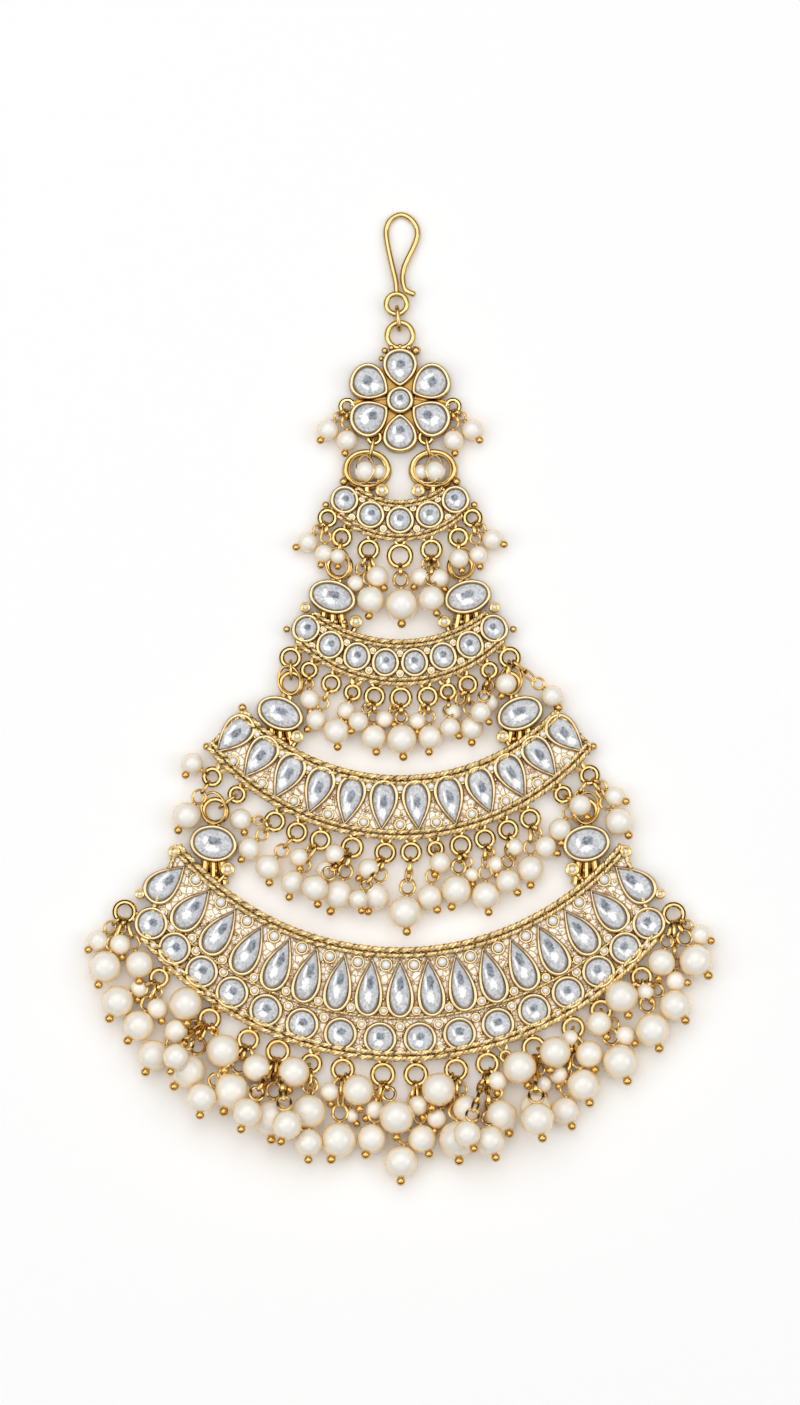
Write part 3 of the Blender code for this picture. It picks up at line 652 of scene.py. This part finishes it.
def gem_material():
    """Clear stone over foil, its look painted. The mesh gives each corner's place in its stone, 0 to 1 across
    and up, and a chance for each facet; here they make painted reflections in the crown's grey facets and the
    table, a painted dark reflection above the middle, a painted white flash below it and painted shade at its
    edge."""
    made, shader, sums = new_material("foiled_stone", {
        "Roughness": 0.3, "Specular IOR Level": 0.3, "Coat Weight": 0.35, "Coat Roughness": 0.03})
    tone = sums.nodes.new("ShaderNodeVertexColor")
    tone.layer_name = "tone"
    across, upward, chance = list(sums.split("Color", tone.outputs["Color"]))[:3]
    p = sums.math("MULTIPLY_ADD", across, 2.0, -1.0)
    q = sums.math("MULTIPLY_ADD", upward, 2.0, -1.0)
    square = sums.math("ADD", sums.math("MULTIPLY", p, p), sums.math("MULTIPLY", q, q))
    reach = sums.math("SQRT", square)
    cell = sums.split("Color", sums.texture("ShaderNodeTexVoronoi", 2600.0).outputs["Color"])
    glint = sums.math("MULTIPLY_ADD", cell[0], 0.5, sums.math("MULTIPLY", chance, 0.5))
    # Painted reflections: each facet takes a grey of its own between the darkest and palest
    colour = sums.mix(glint, *FACET_REFLECTION_GREYS)
    # Painted reflection of the table: a blue grey mixed in over the middle of the stone
    table = sums.step(reach, 0.58, 0.66, 1.0, 0.0)
    colour = sums.mix(sums.math("MULTIPLY", table, 0.5), colour, TABLE_REFLECTION_GREY)
    ragged = sums.math("MULTIPLY_ADD", glint, 0.5, -0.25)
    # Painted dark reflection: a ragged dark patch just above the middle of the stone
    spot = sums.math("ADD", sums.blob(p, q, 0.04, 0.17, 0.42, 0.38), ragged)
    colour = sums.mix(sums.step(spot, 0.46, 0.68), colour, sums.mix(cell[1], *DARK_REFLECTION_GREYS))
    flash = sums.math("MAXIMUM", sums.blob(p, q, -0.06, -0.36, 0.46, 0.30),
                      sums.blob(p, q, -0.42, 0.12, 0.15, 0.42))
    flash = sums.step(sums.math("ADD", flash, ragged), 0.45, 0.7)
    colour = sums.mix(flash, colour, FLASH_WHITE)
    # Painted shade: a brown line round the stone's edge, where it meets its bezel
    edge = sums.step(reach, 0.88, 0.98)
    colour = sums.mix(sums.math("MULTIPLY", edge, 0.7), colour, EDGE_SHADE_BROWN)
    sums.plug(colour, shader.inputs["Base Color"])
    return made


# Brown of the painted shade laid into hollows and between parts
HOLLOW_SHADE = (0.20, 0.08, 0.008)
# Brown of the painted shade in the filigree's recesses
RECESS_SHADE_BROWN = (0.34, 0.17, 0.05)
# Warm colour of the painted reflection round a pearl's sides
PEARL_RIM_REFLECTION = (1.0, 0.74, 0.35)


def gold(name, low, high, roughness=(0.1, 0.18), hollow_shade=HOLLOW_SHADE, **more):
    return mixed_material(name, (low, high), roughness, 1.0, hollow_shade=hollow_shade, **more)


RIM_GOLD = gold("pale_gold", (0.73, 0.55, 0.29), (0.80, 0.62, 0.36), (0.15, 0.25))
ROPE_GOLD = gold("rope_gold", (0.72, 0.52, 0.23), (0.81, 0.61, 0.31), (0.18, 0.28), hollows=(0.25, 0.0, 0.4))
RING_GOLD = gold("ring_gold", (0.70, 0.48, 0.18), (0.79, 0.57, 0.26))
BALL_GOLD = gold("ball_gold", (0.70, 0.42, 0.11), (0.79, 0.51, 0.17), hollow_shade=None)
LINK_GOLD = gold("link_gold", (0.62, 0.39, 0.12), (0.75, 0.51, 0.20))
# Very dark gold for the flower's back disc: painted shade where it shows between the petals
BACK_SHADE_GOLD = gold("shaded_back_gold", (0.30, 0.17, 0.04), (0.43, 0.27, 0.09), (0.25, 0.4))
# Pale gilt filigree: cream cells with painted brown shade in the fine recesses between them, and painted
# shade in its hollows
GROUND_GOLD = tint(mixed_material("filigree", ((0.96, 0.86, 0.66), (1.0, 0.97, 0.89)), (0.3, 0.45), 0.25,
                                  0.3, 900.0, hollow_shade=HOLLOW_SHADE, hollows=(0.5, 0.3, 0.8)), cell_recess_shade, RECESS_SHADE_BROWN)
SEED = mixed_material("seed_nacre", ((0.87, 0.85, 0.81), (0.96, 0.94, 0.90)), (0.18, 0.3), 0.0,
                      0.02, 600.0, 0.8)
# Ivory nacre with a soft coat and a painted warm reflection round its sides, fading to none on top
NACRE = tint(mixed_material("pearl_nacre", ((0.91, 0.875, 0.795), (0.95, 0.915, 0.845)), (0.14, 0.2), 0.0,
                            0.02, 350.0, 1.0), pearl_rim_reflection_share, PEARL_RIM_REFLECTION)
GEM = gem_material()
CHANCES = 997
CHANCE = np.random.default_rng(7).random(CHANCES)


def row_angles(row):
    share = np.linspace(-1, 1, row[2])
    return row[5] * ((1 - row[6]) * share + row[6] * share ** 3)


def stones_of(tier):
    """The stones of a crescent, one (kind, width, length, place, turn) for each."""
    made = []
    for row in STONES:
        if row[0] == tier:
            kind, wide, long, change = row[1], *row[7:]
            for degrees in row_angles(row):
                place = arc_point(row[3:5], degrees)
                turn = math.radians(degrees) + (math.pi if kind == "pear_in" else 0.0)
                change_here = change * (degrees / row[5]) ** 2
                made.append((kind.split("_")[0], wide * (1 + change_here), long * (1 - change_here),
                             place, turn))
    for row, x, y, tilt, long, wide, _, _, _ in OVALS:
        if row == tier:
            for way in (-1, 1):
                made.append(("oval", long, wide, xyz(way * x, y, 0.0), math.radians(way * tilt)))
    return made


def slab(shape, edge, top, flip=False):
    """A flat body over an outline on the table; flip turns its faces round."""
    count = len(edge)
    faces = grid_faces(2, count) + [tuple(range(count))[::-1], tuple(range(count, 2 * count))]
    shape.add(np.concatenate([edge, edge + [0, 0, top]]), [f[::-1] for f in faces] if flip else faces)


def plate(shape, tier):
    """The flat back of a crescent."""
    upper, lower = (arc_run(arc, chord_angle(arc), 0, 0, 60) for arc in (UPPER[tier], LOWER[tier]))
    slab(shape, np.concatenate([upper, lower[::-1]]), PLATE_TOP, True)


def ropes_of(shape, tier):
    """Twisted cords along both edges, a plain wire inside each, and short cords at the ends."""
    upper, lower = UPPER[tier], LOWER[tier]
    thick = ROPE_THICK[tier]
    top = PLATE_TOP + 0.45
    for arc, way in ((upper, 1), (lower, -1)):
        most = chord_angle(arc)
        outer = arc_run(arc, most, way * 0.15 * thick, top, 200)
        inner = arc_run(arc, most, way * 1.02 * thick, top + 0.25, 200)
        rope(shape, outer, thick, thick * 2.1)
        rope(shape, inner, thick * 0.8, thick * 1.7)
    if tier == 4:
        rope(shape, arc_run(MIDDLE_ROPE, MIDDLE_ROPE[2], 0, top + 0.1, 200), 0.6, 1.0)
    for way in (-1, 1):
        start = arc_point(upper, way * chord_angle(upper), 0.3, top)
        end = arc_point(lower, way * chord_angle(lower), -0.3, top)
        rope(shape, np.linspace(start, end, 20), thick * 0.8, thick * 1.5)


def seeds_of(tier):
    """Places and sizes of a crescent's seed pearls."""
    rows = [row for row in STONES if row[0] == tier]
    made = []
    for this, number, reach, size in SEED_ROWS:
        if this == tier:
            row = rows[number]
            angles = row_angles(row)
            for degrees in (angles[:-1] + angles[1:]) / 2:
                made.append((arc_point(row[3:5], degrees, reach), size))
    return made


def inside_stone(point, stone, margin):
    kind, wide, long, place, turn = stone
    dx, dy = point[0] - place[0], point[1] - place[1]
    x = dx * math.cos(turn) + dy * math.sin(turn)
    y = -dx * math.sin(turn) + dy * math.cos(turn)
    if kind == "pear" and y > 0:
        wide = wide * (1.0 - 0.45 * min(1.0, y / (long / 2)))
    return (x / (wide / 2 + margin)) ** 2 + (y / (long / 2 + margin)) ** 2 < 1


def grains_of(shape, tier, stones, seeds):
    """Granulation: small gold grains over the ground that the stones and seeds leave free."""
    upper, lower = UPPER[tier], LOWER[tier]
    spots = []
    for a, y in enumerate(np.arange(-70, 50, GRAIN_STEP * 0.87)):
        for x in np.arange(-50, 50, GRAIN_STEP) + (a % 2) * GRAIN_STEP / 2:
            if (abs(x) < upper[2] and y <= lower[1] and math.hypot(x, y - lower[1]) <= lower[0] - 0.5
                    and math.hypot(x, y - upper[1]) >= upper[0] + 0.6):
                spots.append((x, y))
    for number, (x, y) in enumerate(spots):
        size = GRAIN_SIZE[0] + GRAIN_SIZE[1] * CHANCE[number % CHANCES]
        if CHANCE[(number * 7) % CHANCES] > GRAIN_SHARE:
            continue
        if any(inside_stone((x, y), s, 0.12) for s in stones):
            continue
        if any(math.hypot(x - p[0], y - p[1]) < d / 2 + 0.25 for p, d in seeds):
            continue
        ball(shape, xyz(x, y, PLATE_TOP + 0.1), size, 8, 5)


def knob(shape, seeds, x, y, size, tier):
    """A small round bezel with a seed in it, or a grain if it is tiny, on a stalk from the edge."""
    centre, heart = xyz(x, y, 1.5), np.array([0, UPPER[tier][1], 1.5])
    reach = max(UPPER[tier][0] + 0.5, np.linalg.norm(centre - heart) + 0.3)
    if abs(x) < UPPER[tier][2]:
        foot = heart + unit(centre - heart) * reach
        tube(shape, smooth_run([centre, (centre + foot) / 2 + [0.25, 0, 0], foot], 5), 0.55, 10)
    if size < 1.55:
        ball(shape, xyz(x, y, 1.7), size, 14, 10)
        return
    centre = xyz(x, y, 2.1)
    cup = [centre - [0, 0, 1.7], centre, centre + [0, 0, 0.5]]
    tube(shape, cup, [size * 0.5, size * 0.5, size * 0.46], 16)
    ring(shape, centre + [0, 0, 0.5], size * 0.37, size * 0.17, parts=20, sides=8)
    ball(seeds, centre + [0, 0, 0.45], size * 0.52, 12, 8)


def loop_root(tier, row):
    centre = arc_point(LOWER[tier], row[0], row[1], LOOP_Z)
    if tier in END_LOOPS and abs(row[0]) > END_ANGLE:
        last = [r for r in STONES if r[0] == tier][-1]
        heart = arc_point(last[3:5], math.copysign(last[5], row[0]), 0, LOOP_Z)
        return centre, heart
    return centre, arc_point(LOWER[tier], row[0], -1.0, LOOP_Z)


def loop(shape, centre, radius, root, wire=WIRE):
    """A round loop with a short solder foot towards its root."""
    ring(shape, centre, radius, wire, parts=28, sides=10)
    way = unit(root - centre)
    side = xyz(-way[1], way[0], 0)
    start = centre + way * radius
    for k in (-1, 1):
        foot = [start + side * k * 0.12, start + way * 0.5 + side * k * 0.55, root + side * k * 0.9]
        tube(shape, smooth_run(foot, 4), wire * 0.9, 8)


def foot_of_oval(shape, top, foot):
    """Three legs that spread from an oval to the crescent's edge, with grains between them."""
    along = unit(foot - top)
    across = xyz(-along[1], along[0], 0)
    for k in (-1, 0, 1):
        tube(shape, smooth_run([top + across * k, (top + foot) / 2 + across * k * 1.5,
                                foot + across * k * 2.0], 5), 0.8, 10)
        ball(shape, foot + across * (k * 1.6 + 0.5) - along * 1.1 + [0, 0, 0.6], 0.95, 12, 8)


def loops_of(shape, tier):
    for row in DROPS[tier]:
        centre, root = loop_root(tier, row)
        loop(shape, centre, row[2], root, WIRE if row[2] > 1 else FINE_WIRE)
    if tier in CARRIERS:
        x, y, radius = CARRIERS[tier]
        for way in (-1, 1):
            centre = xyz(way * x, y)
            inward = unit(np.array([0, LOWER[tier][1], LOOP_Z]) - centre)
            loop(shape, centre, radius, centre + inward * 3.2)
    for row, x, y, _, _, _, ring_x, ring_y, radius in OVALS:
        if row == tier:
            for way in (-1, 1):
                centre = xyz(way * ring_x, ring_y)
                loop(shape, centre, radius, xyz(way * x, y))
                edge = UPPER[tier][1] - math.sqrt(UPPER[tier][0] ** 2 - x * x)
                foot_of_oval(shape, xyz(way * x, y, 1.1), xyz(way * x, edge - 0.8, 1.1))


def dress_tier(tier):
    stones, seeds = stones_of(tier), seeds_of(tier)
    ground, cords, rims, gems = Shape(), Shape(), Shape(), Shape()
    rings, grains, nacre = Shape(), Shape(), Shape()
    plate(ground, tier)
    ropes_of(cords, tier)
    for number, (kind, wide, long, place, turn) in enumerate(stones):
        bezel(rims, kind, wide, long, place, turn)
        gem(gems, kind, wide, long, place, turn, np.roll(CHANCE, number * 37))
    for place, size in seeds:
        ring(grains, place + [0, 0, PLATE_TOP + 0.3], size * 0.56, 0.19, parts=16, sides=6)
        ball(nacre, place + [0, 0, PLATE_TOP + 0.6], size * 0.9, 16, 10)
    grains_of(grains, tier, stones, seeds)
    for x, y, size in KNOBS[tier]:
        for way in (-1, 1):
            knob(rings, nacre, way * x, y, size, tier)
    loops_of(rings, tier)
    name = "tier_%d_" % tier
    slot = "tier_%d_setting" % tier
    main = ground.make(name + "ground", GROUND_GOLD, slot=slot)
    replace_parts(main, "tier_%d" % tier)
    cords.make(name + "ropes", ROPE_GOLD, slot=slot)
    rims.make(name + "bezels", RIM_GOLD, slot=slot)
    gems.make(name + "stones", GEM, smooth=False, slot=slot, toned=True)
    grains.make(name + "grains", ROPE_GOLD, slot=slot)
    nacre.make(name + "seeds", SEED, slot=slot)
    rings.make(name + "loops", RING_GOLD, slot=slot)


def frame_pearl(node, arc, row):
    """The middle of the pearl in one of the frame's drops: the place that most of its points fit."""
    points = np.array([v.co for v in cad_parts[node].data.vertices]) / MM - ORIGIN
    best, most = None, -1
    for swing in SWINGS:
        spot = arc_point(arc, row[0] + math.degrees(swing / (arc[0] + row[1])), row[1])
        for lift in range(24):
            spot[2] = row[2] / 2 + CLEAR + lift * LIFT_STEP
            fits = np.sum(abs(np.linalg.norm(points - spot, axis=1) - row[2] / 2) < 0.01)
            if fits > most:
                best, most = spot.copy(), fits
    return best


def settle(pearls, spot, size):
    """The place near a spot where a pearl lies lowest, rests on the table and touches no other."""
    hearts = np.array([heart for heart, _ in pearls])
    touch = (np.array([wide for _, wide in pearls]) + size) / 2 - CLEAR
    floor = size / 2 + CLEAR
    best, least = None, math.inf
    for dx in NUDGES:
        for dy in NUDGES:
            level = np.hypot(hearts[:, 0] - spot[0] - dx, hearts[:, 1] - spot[1] - dy)
            near = level < touch
            heights = hearts[near, 2]
            rises = np.sqrt(touch[near] ** 2 - level[near] ** 2)
            tries = [floor] + [z for z in heights + rises if z > floor]
            z = min(z for z in tries if np.all(abs(z - heights) > rises - 0.001))
            cost = z + NUDGE_COST * math.hypot(dx, dy)
            if cost < least:
                best, least = xyz(spot[0] + dx, spot[1] + dy, z), cost
    return best


def edge_link(shape, centre, reach, wire, side, way):
    """A narrow link seen on its edge, clear of the table."""
    low = LINK_HALF * math.hypot(way[0], way[1]) + reach * abs(way[2]) + wire
    centre = np.array([centre[0], centre[1], max(centre[2], low)])
    ring(shape, centre, reach, wire, side, LINK_HALF, way, 20, 8)


def chain(shape, start, end, wire):
    """Links from a loop's wire to a pin's eye, the first seen on its edge, then turned by turns."""
    span = np.linalg.norm(end - start)
    count = max(1, int(round(span / LINK_LONG)))
    way = unit(end - start)
    side = unit(np.cross(way, [0, 0, 1.0]))
    up = np.cross(side, way)
    for k in range(count):
        centre = start + way * span * (k + 0.5) / count
        reach = span / count * 0.5 + 0.42
        if k % 2 == 0:
            edge_link(shape, centre, reach, wire * 1.35, side, way)
        else:
            ring(shape, centre, reach, wire, up, 0.5, way, 20, 8)


def collar(shape, at, way, wire):
    """A small ring of wire round a pin where it leaves a pearl."""
    ring(shape, at, 0.3, wire, way, along=np.cross(way, [0.3, 0.2, 1.0]), parts=12, sides=6)


def drop(pearls, wires, balls, loop_at, loop_radius, heart, size, turn):
    """A pearl with its head pin, turned by some degrees, the pin's eye and the links to its loop."""
    ball(pearls, heart, size, 36, 22)
    way = unit(loop_at - heart)
    turn = math.radians(turn)
    tilt = unit(xyz(math.sin(turn), -math.cos(turn), 0.12))
    head = 1.0 + 0.1 * size
    tip = heart + tilt * (size / 2 + head * 0.36)
    tip[2] = max(tip[2], head / 2 + CLEAR)
    ball(balls, tip, head, 18, 12)
    collar(balls, heart + tilt * (size / 2 - 0.02), tilt, 0.13)
    top = heart + way * size / 2
    collar(wires, heart + way * (size / 2 + 0.06), way, 0.15)
    flat = unit(np.array([loop_at[0] - heart[0], loop_at[1] - heart[1], 0]))
    wire_end = loop_at - flat * loop_radius
    gap = np.linalg.norm(wire_end - top)
    wire = 0.29 if size > 5 else 0.23
    side = unit(np.cross(way, [0, 0, 1.0]))
    up = np.cross(side, way)
    if gap < 1.5 or np.dot(wire_end - heart, way) < size / 2:
        edge_link(wires, (wire_end + top) / 2, max(0.8, gap / 2 + 0.45), wire * 1.3, side, way)
        return
    eye_reach = min(0.5 + 0.15 * size, gap * 0.34)
    eye = top + way * (eye_reach + 0.3)
    tube(wires, [top - way * 0.3, top + way * 0.45], 0.19, 8)
    ring(wires, eye, eye_reach, wire, up, eye_reach * 0.9, way, 24, 8)
    chain(wires, wire_end, eye + way * eye_reach, wire)


def make_drops(name, pearls, wires, balls):
    """The pieces of some drops; the pearls' one is given back."""
    main = pearls.make(name + "_pearls", NACRE, slot="pearl")
    wires.make(name + "_links", LINK_GOLD)
    balls.make(name + "_heads", BALL_GOLD)
    return main


def dress_drops(tier):
    arc = LOWER[tier]
    placed_pearls, jobs, names = [], [], []
    for row in DROPS[tier]:
        loop_at, _ = loop_root(tier, row)
        for number, pearl in enumerate(row[4]):
            if number == 0 and row[3]:
                node = "drop_%d_%02d" % (tier, row[3])
                heart = frame_pearl(node, arc, pearl)
                names.append(node)
                placed_pearls.append((heart, pearl[2]))
            else:
                heart = None
            jobs.append([loop_at, row[2], heart, pearl])
    for job in sorted((j for j in jobs if j[2] is None), key=lambda j: j[3][2]):
        pearl = job[3]
        job[2] = settle(placed_pearls, arc_point(arc, pearl[0], pearl[1]), pearl[2])
        placed_pearls.append((job[2], pearl[2]))
    pearls, wires, balls = Shape(), Shape(), Shape()
    for loop_at, radius, heart, pearl in jobs:
        drop(pearls, wires, balls, loop_at, radius, heart, pearl[2], pearl[3])
    main = make_drops("drops_%d" % tier, pearls, wires, balls)
    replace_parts(main, *names)


def dress_flower():
    heart = xyz(0, FLOWER_Y, 0.0)
    rims, gems, rings = Shape(), Shape(), Shape()
    turns = 2 * np.pi * np.arange(48) / 48
    edge = np.stack([np.sin(turns), np.cos(turns), 0 * turns], axis=1) * FLOWER_DISC + heart
    ground = Shape()
    slab(ground, edge, DISC_TOP)
    for k in range(6):
        out = math.pi * k / 3
        reach, wide, long = PETALS[k % 3 == 0]
        place = heart + xyz(math.sin(out), math.cos(out), 0) * reach
        turn = -out + math.pi
        bezel(rims, "petal", wide, long, place, turn)
        gem(gems, "petal", wide, long, place, turn, np.roll(CHANCE, 53 * k))
    bezel(rims, "round", HEART_WIDE, HEART_WIDE, heart, 0.0, 0.6)
    gem(gems, "round", HEART_WIDE, HEART_WIDE, heart, 0.0, CHANCE, 0.6)
    ring(rings, (0, TOP_RING_Y, LOOP_Z), TOP_RING, RING_WIRE, parts=36, sides=12)
    for x, y, size in TOP_GRAINS:
        ball(rings, xyz(x, y, 1.7), size, 14, 10)
    for way in (-1, 1):
        for x, y, radius in (EAR, LUG):
            centre = xyz(way * x, y)
            loop(rings, centre, radius, heart * [1, 1, 0] + [0, 0, LOOP_Z] if x == EAR[0]
                 else centre + [0, 2.4, 0], LUG_WIRE)
    main = ground.make("flower_ground", BACK_SHADE_GOLD, slot="flower_setting")
    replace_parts(main, "flower")
    rims.make("flower_bezels", RIM_GOLD, slot="flower_setting")
    gems.make("flower_stones", GEM, smooth=False, slot="flower_setting", toned=True)
    rings.make("flower_rings", RING_GOLD, slot="flower_setting")
    pearls, wires, balls = Shape(), Shape(), Shape()
    for way in (-1, 1):
        ear = xyz(way * EAR[0], EAR[1])
        for x, y, size, turn in FLOWER_PEARLS:
            spot = xyz(way * x, y, size / 2 + CLEAR)
            drop(pearls, wires, balls, ear, EAR[2], spot, size, way * turn)
    main = make_drops("flower_drops", pearls, wires, balls)
    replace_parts(main, "flower_drop_left", "flower_drop_right")


def dress_big_rings():
    rings, pearls, balls = Shape(), Shape(), Shape()
    x, y, radius = BIG_RING
    for way in (-1, 1):
        centre = xyz(way * x, y)
        for at, high, rise, wire in BIG_RING_WIRES:
            ring(rings, centre + at, radius + high, wire, rise=radius + rise, parts=48, sides=12)
        ring(rings, centre + [way * -0.8, 0.3, 1.2], radius - 0.7, 0.17, (way * -0.3, 0.15, 1), 2.6, parts=40)
        ring(rings, centre + [way * 0.9, 0.2, 1.3], radius - 0.8, 0.17, (way * 0.35, 0.1, 1), 2.3, parts=40)
        tube(rings, [centre - [0, radius - 0.6, 0.2], centre - [0, radius + 2.2, 0.2]], 0.8, 10)
        for px, py, size in RING_PEARLS:
            ball(pearls, xyz(way * px, py, size / 2 + 0.5), size, 28, 18)
            ball(balls, xyz(way * px, py - size / 2 - 0.2, 1.6), 0.9, 12, 8)
    rings.make("big_rings", RING_GOLD, slot="tier_1_setting")
    pearls.make("big_rings_pearls", NACRE, slot="pearl")
    balls.make("big_rings_heads", BALL_GOLD, slot="tier_1_setting")


def dress_ring_drops():
    pearls, wires, balls = Shape(), Shape(), Shape()
    for x, y, rise, size, turn, loop_x, loop_y in RING_DROPS:
        drop(pearls, wires, balls, xyz(loop_x, loop_y, LOOP_Z + 1.0), 1.3,
             xyz(x, y, rise), size, turn)
    for _, x, y, _, _, _, ring_x, ring_y, radius in OVALS:
        for way in (-1, 1):
            centre = xyz(way * (ring_x + 0.3), ring_y + 0.5, LOOP_Z + 0.95)
            ring(wires, centre, radius + 0.75, 0.26, (way * 0.3, 0.1, 1), radius + 0.1, (way * 0.3, 1, 0), 36)
    make_drops("ring_drops", pearls, wires, balls)


def dress_hook():
    wire = Shape()
    top = max(y for _, y in HOOK_RUN)
    run = []
    for k, (x, y) in enumerate(HOOK_RUN):
        z = CROWN_Z + (EYE_Z - CROWN_Z) * (top - y) / (top - EYE[1])
        run.append((x, y, z + TAIL_LIFT * max(0, k - len(HOOK_RUN) + 3)))
    path = smooth_run(run, 8)
    radii = np.full(len(path), HOOK_WIRE)
    radii[-1] *= 0.75
    tube(wire, path, radii, 14)
    ring(wire, (EYE[0], EYE[1], EYE_Z), EYE[2], HOOK_WIRE, parts=36, sides=14)
    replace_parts(wire.make("hook_wire", RING_GOLD, sharp=60), "hook")


def upright_link(name, node, one, one_radius, two, two_radius, wire, thick):
    """A link through two lying loops, in place of the frame's."""
    one, two = np.asarray(one, float), np.asarray(two, float)
    way = unit(two - one)
    first, second = one + way * one_radius, two - way * two_radius
    reach = np.linalg.norm(second - first) / 2 + thick + GAP + wire
    rise = (thick + GAP + wire) * 1.05
    centre = (first + second) / 2
    centre[2] = max(centre[2], rise + wire)
    along = unit(second - first)
    link = Shape()
    ring(link, centre, reach * 1.05, wire, np.cross(along, [0, 0, 1.0]), rise, along, 36, 12)
    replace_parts(link.make(name, RING_GOLD, sharp=60), node)


def dress_links():
    upright_link("hook_link_wire", "hook_link", (EYE[0], EYE[1], EYE_Z), EYE[2],
                 (0, TOP_RING_Y, LOOP_Z), TOP_RING, 0.4, RING_WIRE)
    for word, way in (("left", -1), ("right", 1)):
        upright_link("flower_link_wire_" + word, "flower_link_" + word,
                     (way * LUG[0], LUG[1], LOOP_Z), LUG[2],
                     (way * BIG_RING[0], BIG_RING[1], LOOP_Z), BIG_RING[2], LINK_WIRE, RING_WIRE)
        for tier, (x, y, radius) in CARRIERS.items():
            oval = [row for row in OVALS if row[0] == tier + 1][0]
            node = "link_%d%d_%s" % (tier, tier + 1, word)
            upright_link("wire_" + node, node, (way * x, y, LOOP_Z), radius,
                         (way * oval[6], oval[7], LOOP_Z), oval[8], LINK_WIRE, LUG_WIRE)


def area(name, place, size, power):
    light = bpy.data.lights.new(name, "AREA")
    light.energy, light.size = power, size
    put(name, light, Vector(place), -Vector(place))


def studio():
    """The table, the lights and the surround, dark low down and dimmer past the jewel's lower end."""
    mesh = bpy.data.meshes.new("table")
    corners = [(x * TABLE_HALF, y * TABLE_HALF, 0) for x, y in ((-1, -1), (1, -1), (1, 1), (-1, 1))]
    mesh.from_pydata(corners, [], [(0, 1, 2, 3)])
    white = (TABLE_WHITE, TABLE_WHITE, TABLE_WHITE, 1)
    mesh.materials.append(new_material("pale_table", {"Base Color": white, "Roughness": 0.9,
                                                      "Specular IOR Level": 0.1})[0])
    floor = put("table", mesh, (0, 0, -TABLE_DROP))
    for light in LIGHTS:
        area(*light)
    world = bpy.data.worlds.new("studio")
    world.use_nodes = True
    bpy.context.scene.world = world
    back = world.node_tree.nodes["Background"]
    sums = Sums(world.node_tree)
    way = sums.split("XYZ", sums.place("Generated"))
    ramp = sums.nodes.new("ShaderNodeValToRGB")
    sums.plug(way["Z"], ramp.inputs["Fac"])
    left = sums.math("MULTIPLY_ADD", way["Y"], *SURROUND_LEAN)
    sums.plug(sums.mix(left, (0.0, 0.0, 0.0), ramp.outputs["Color"]), back.inputs["Color"])
    stops = ramp.color_ramp.elements
    stops[0].position, stops[0].color = 0.0, (0.04, 0.03, 0.02, 1)
    stops[1].position, stops[1].color = 1.0, (1.0, 1.0, 1.0, 1)
    for at, grey in SURROUND:
        stops.new(at).color = (grey, grey, grey, 1)
    back.inputs["Strength"].default_value = SURROUND_POWER


def camera():
    lens = bpy.data.cameras.new("camera")
    lens.sensor_width = SENSOR
    lens.lens = SENSOR * CAMERA_AWAY / VIEW_HIGH
    rise = math.radians(CAMERA_RISE)
    target = Vector((VIEW_MIDDLE[0], VIEW_MIDDLE[1], 0)) * MM + Vector(ORIGIN) * MM
    back = Vector((0, -math.cos(rise), math.sin(rise)))
    bpy.context.scene.camera = put("camera", lens, target + back * CAMERA_AWAY, -back)


bpy.context.scene.view_settings.view_transform = "Standard"
studio()
camera()
dress_hook()
dress_links()
dress_flower()
dress_big_rings()
dress_ring_drops()
for number in TIERS:
    dress_tier(number)
    dress_drops(number)
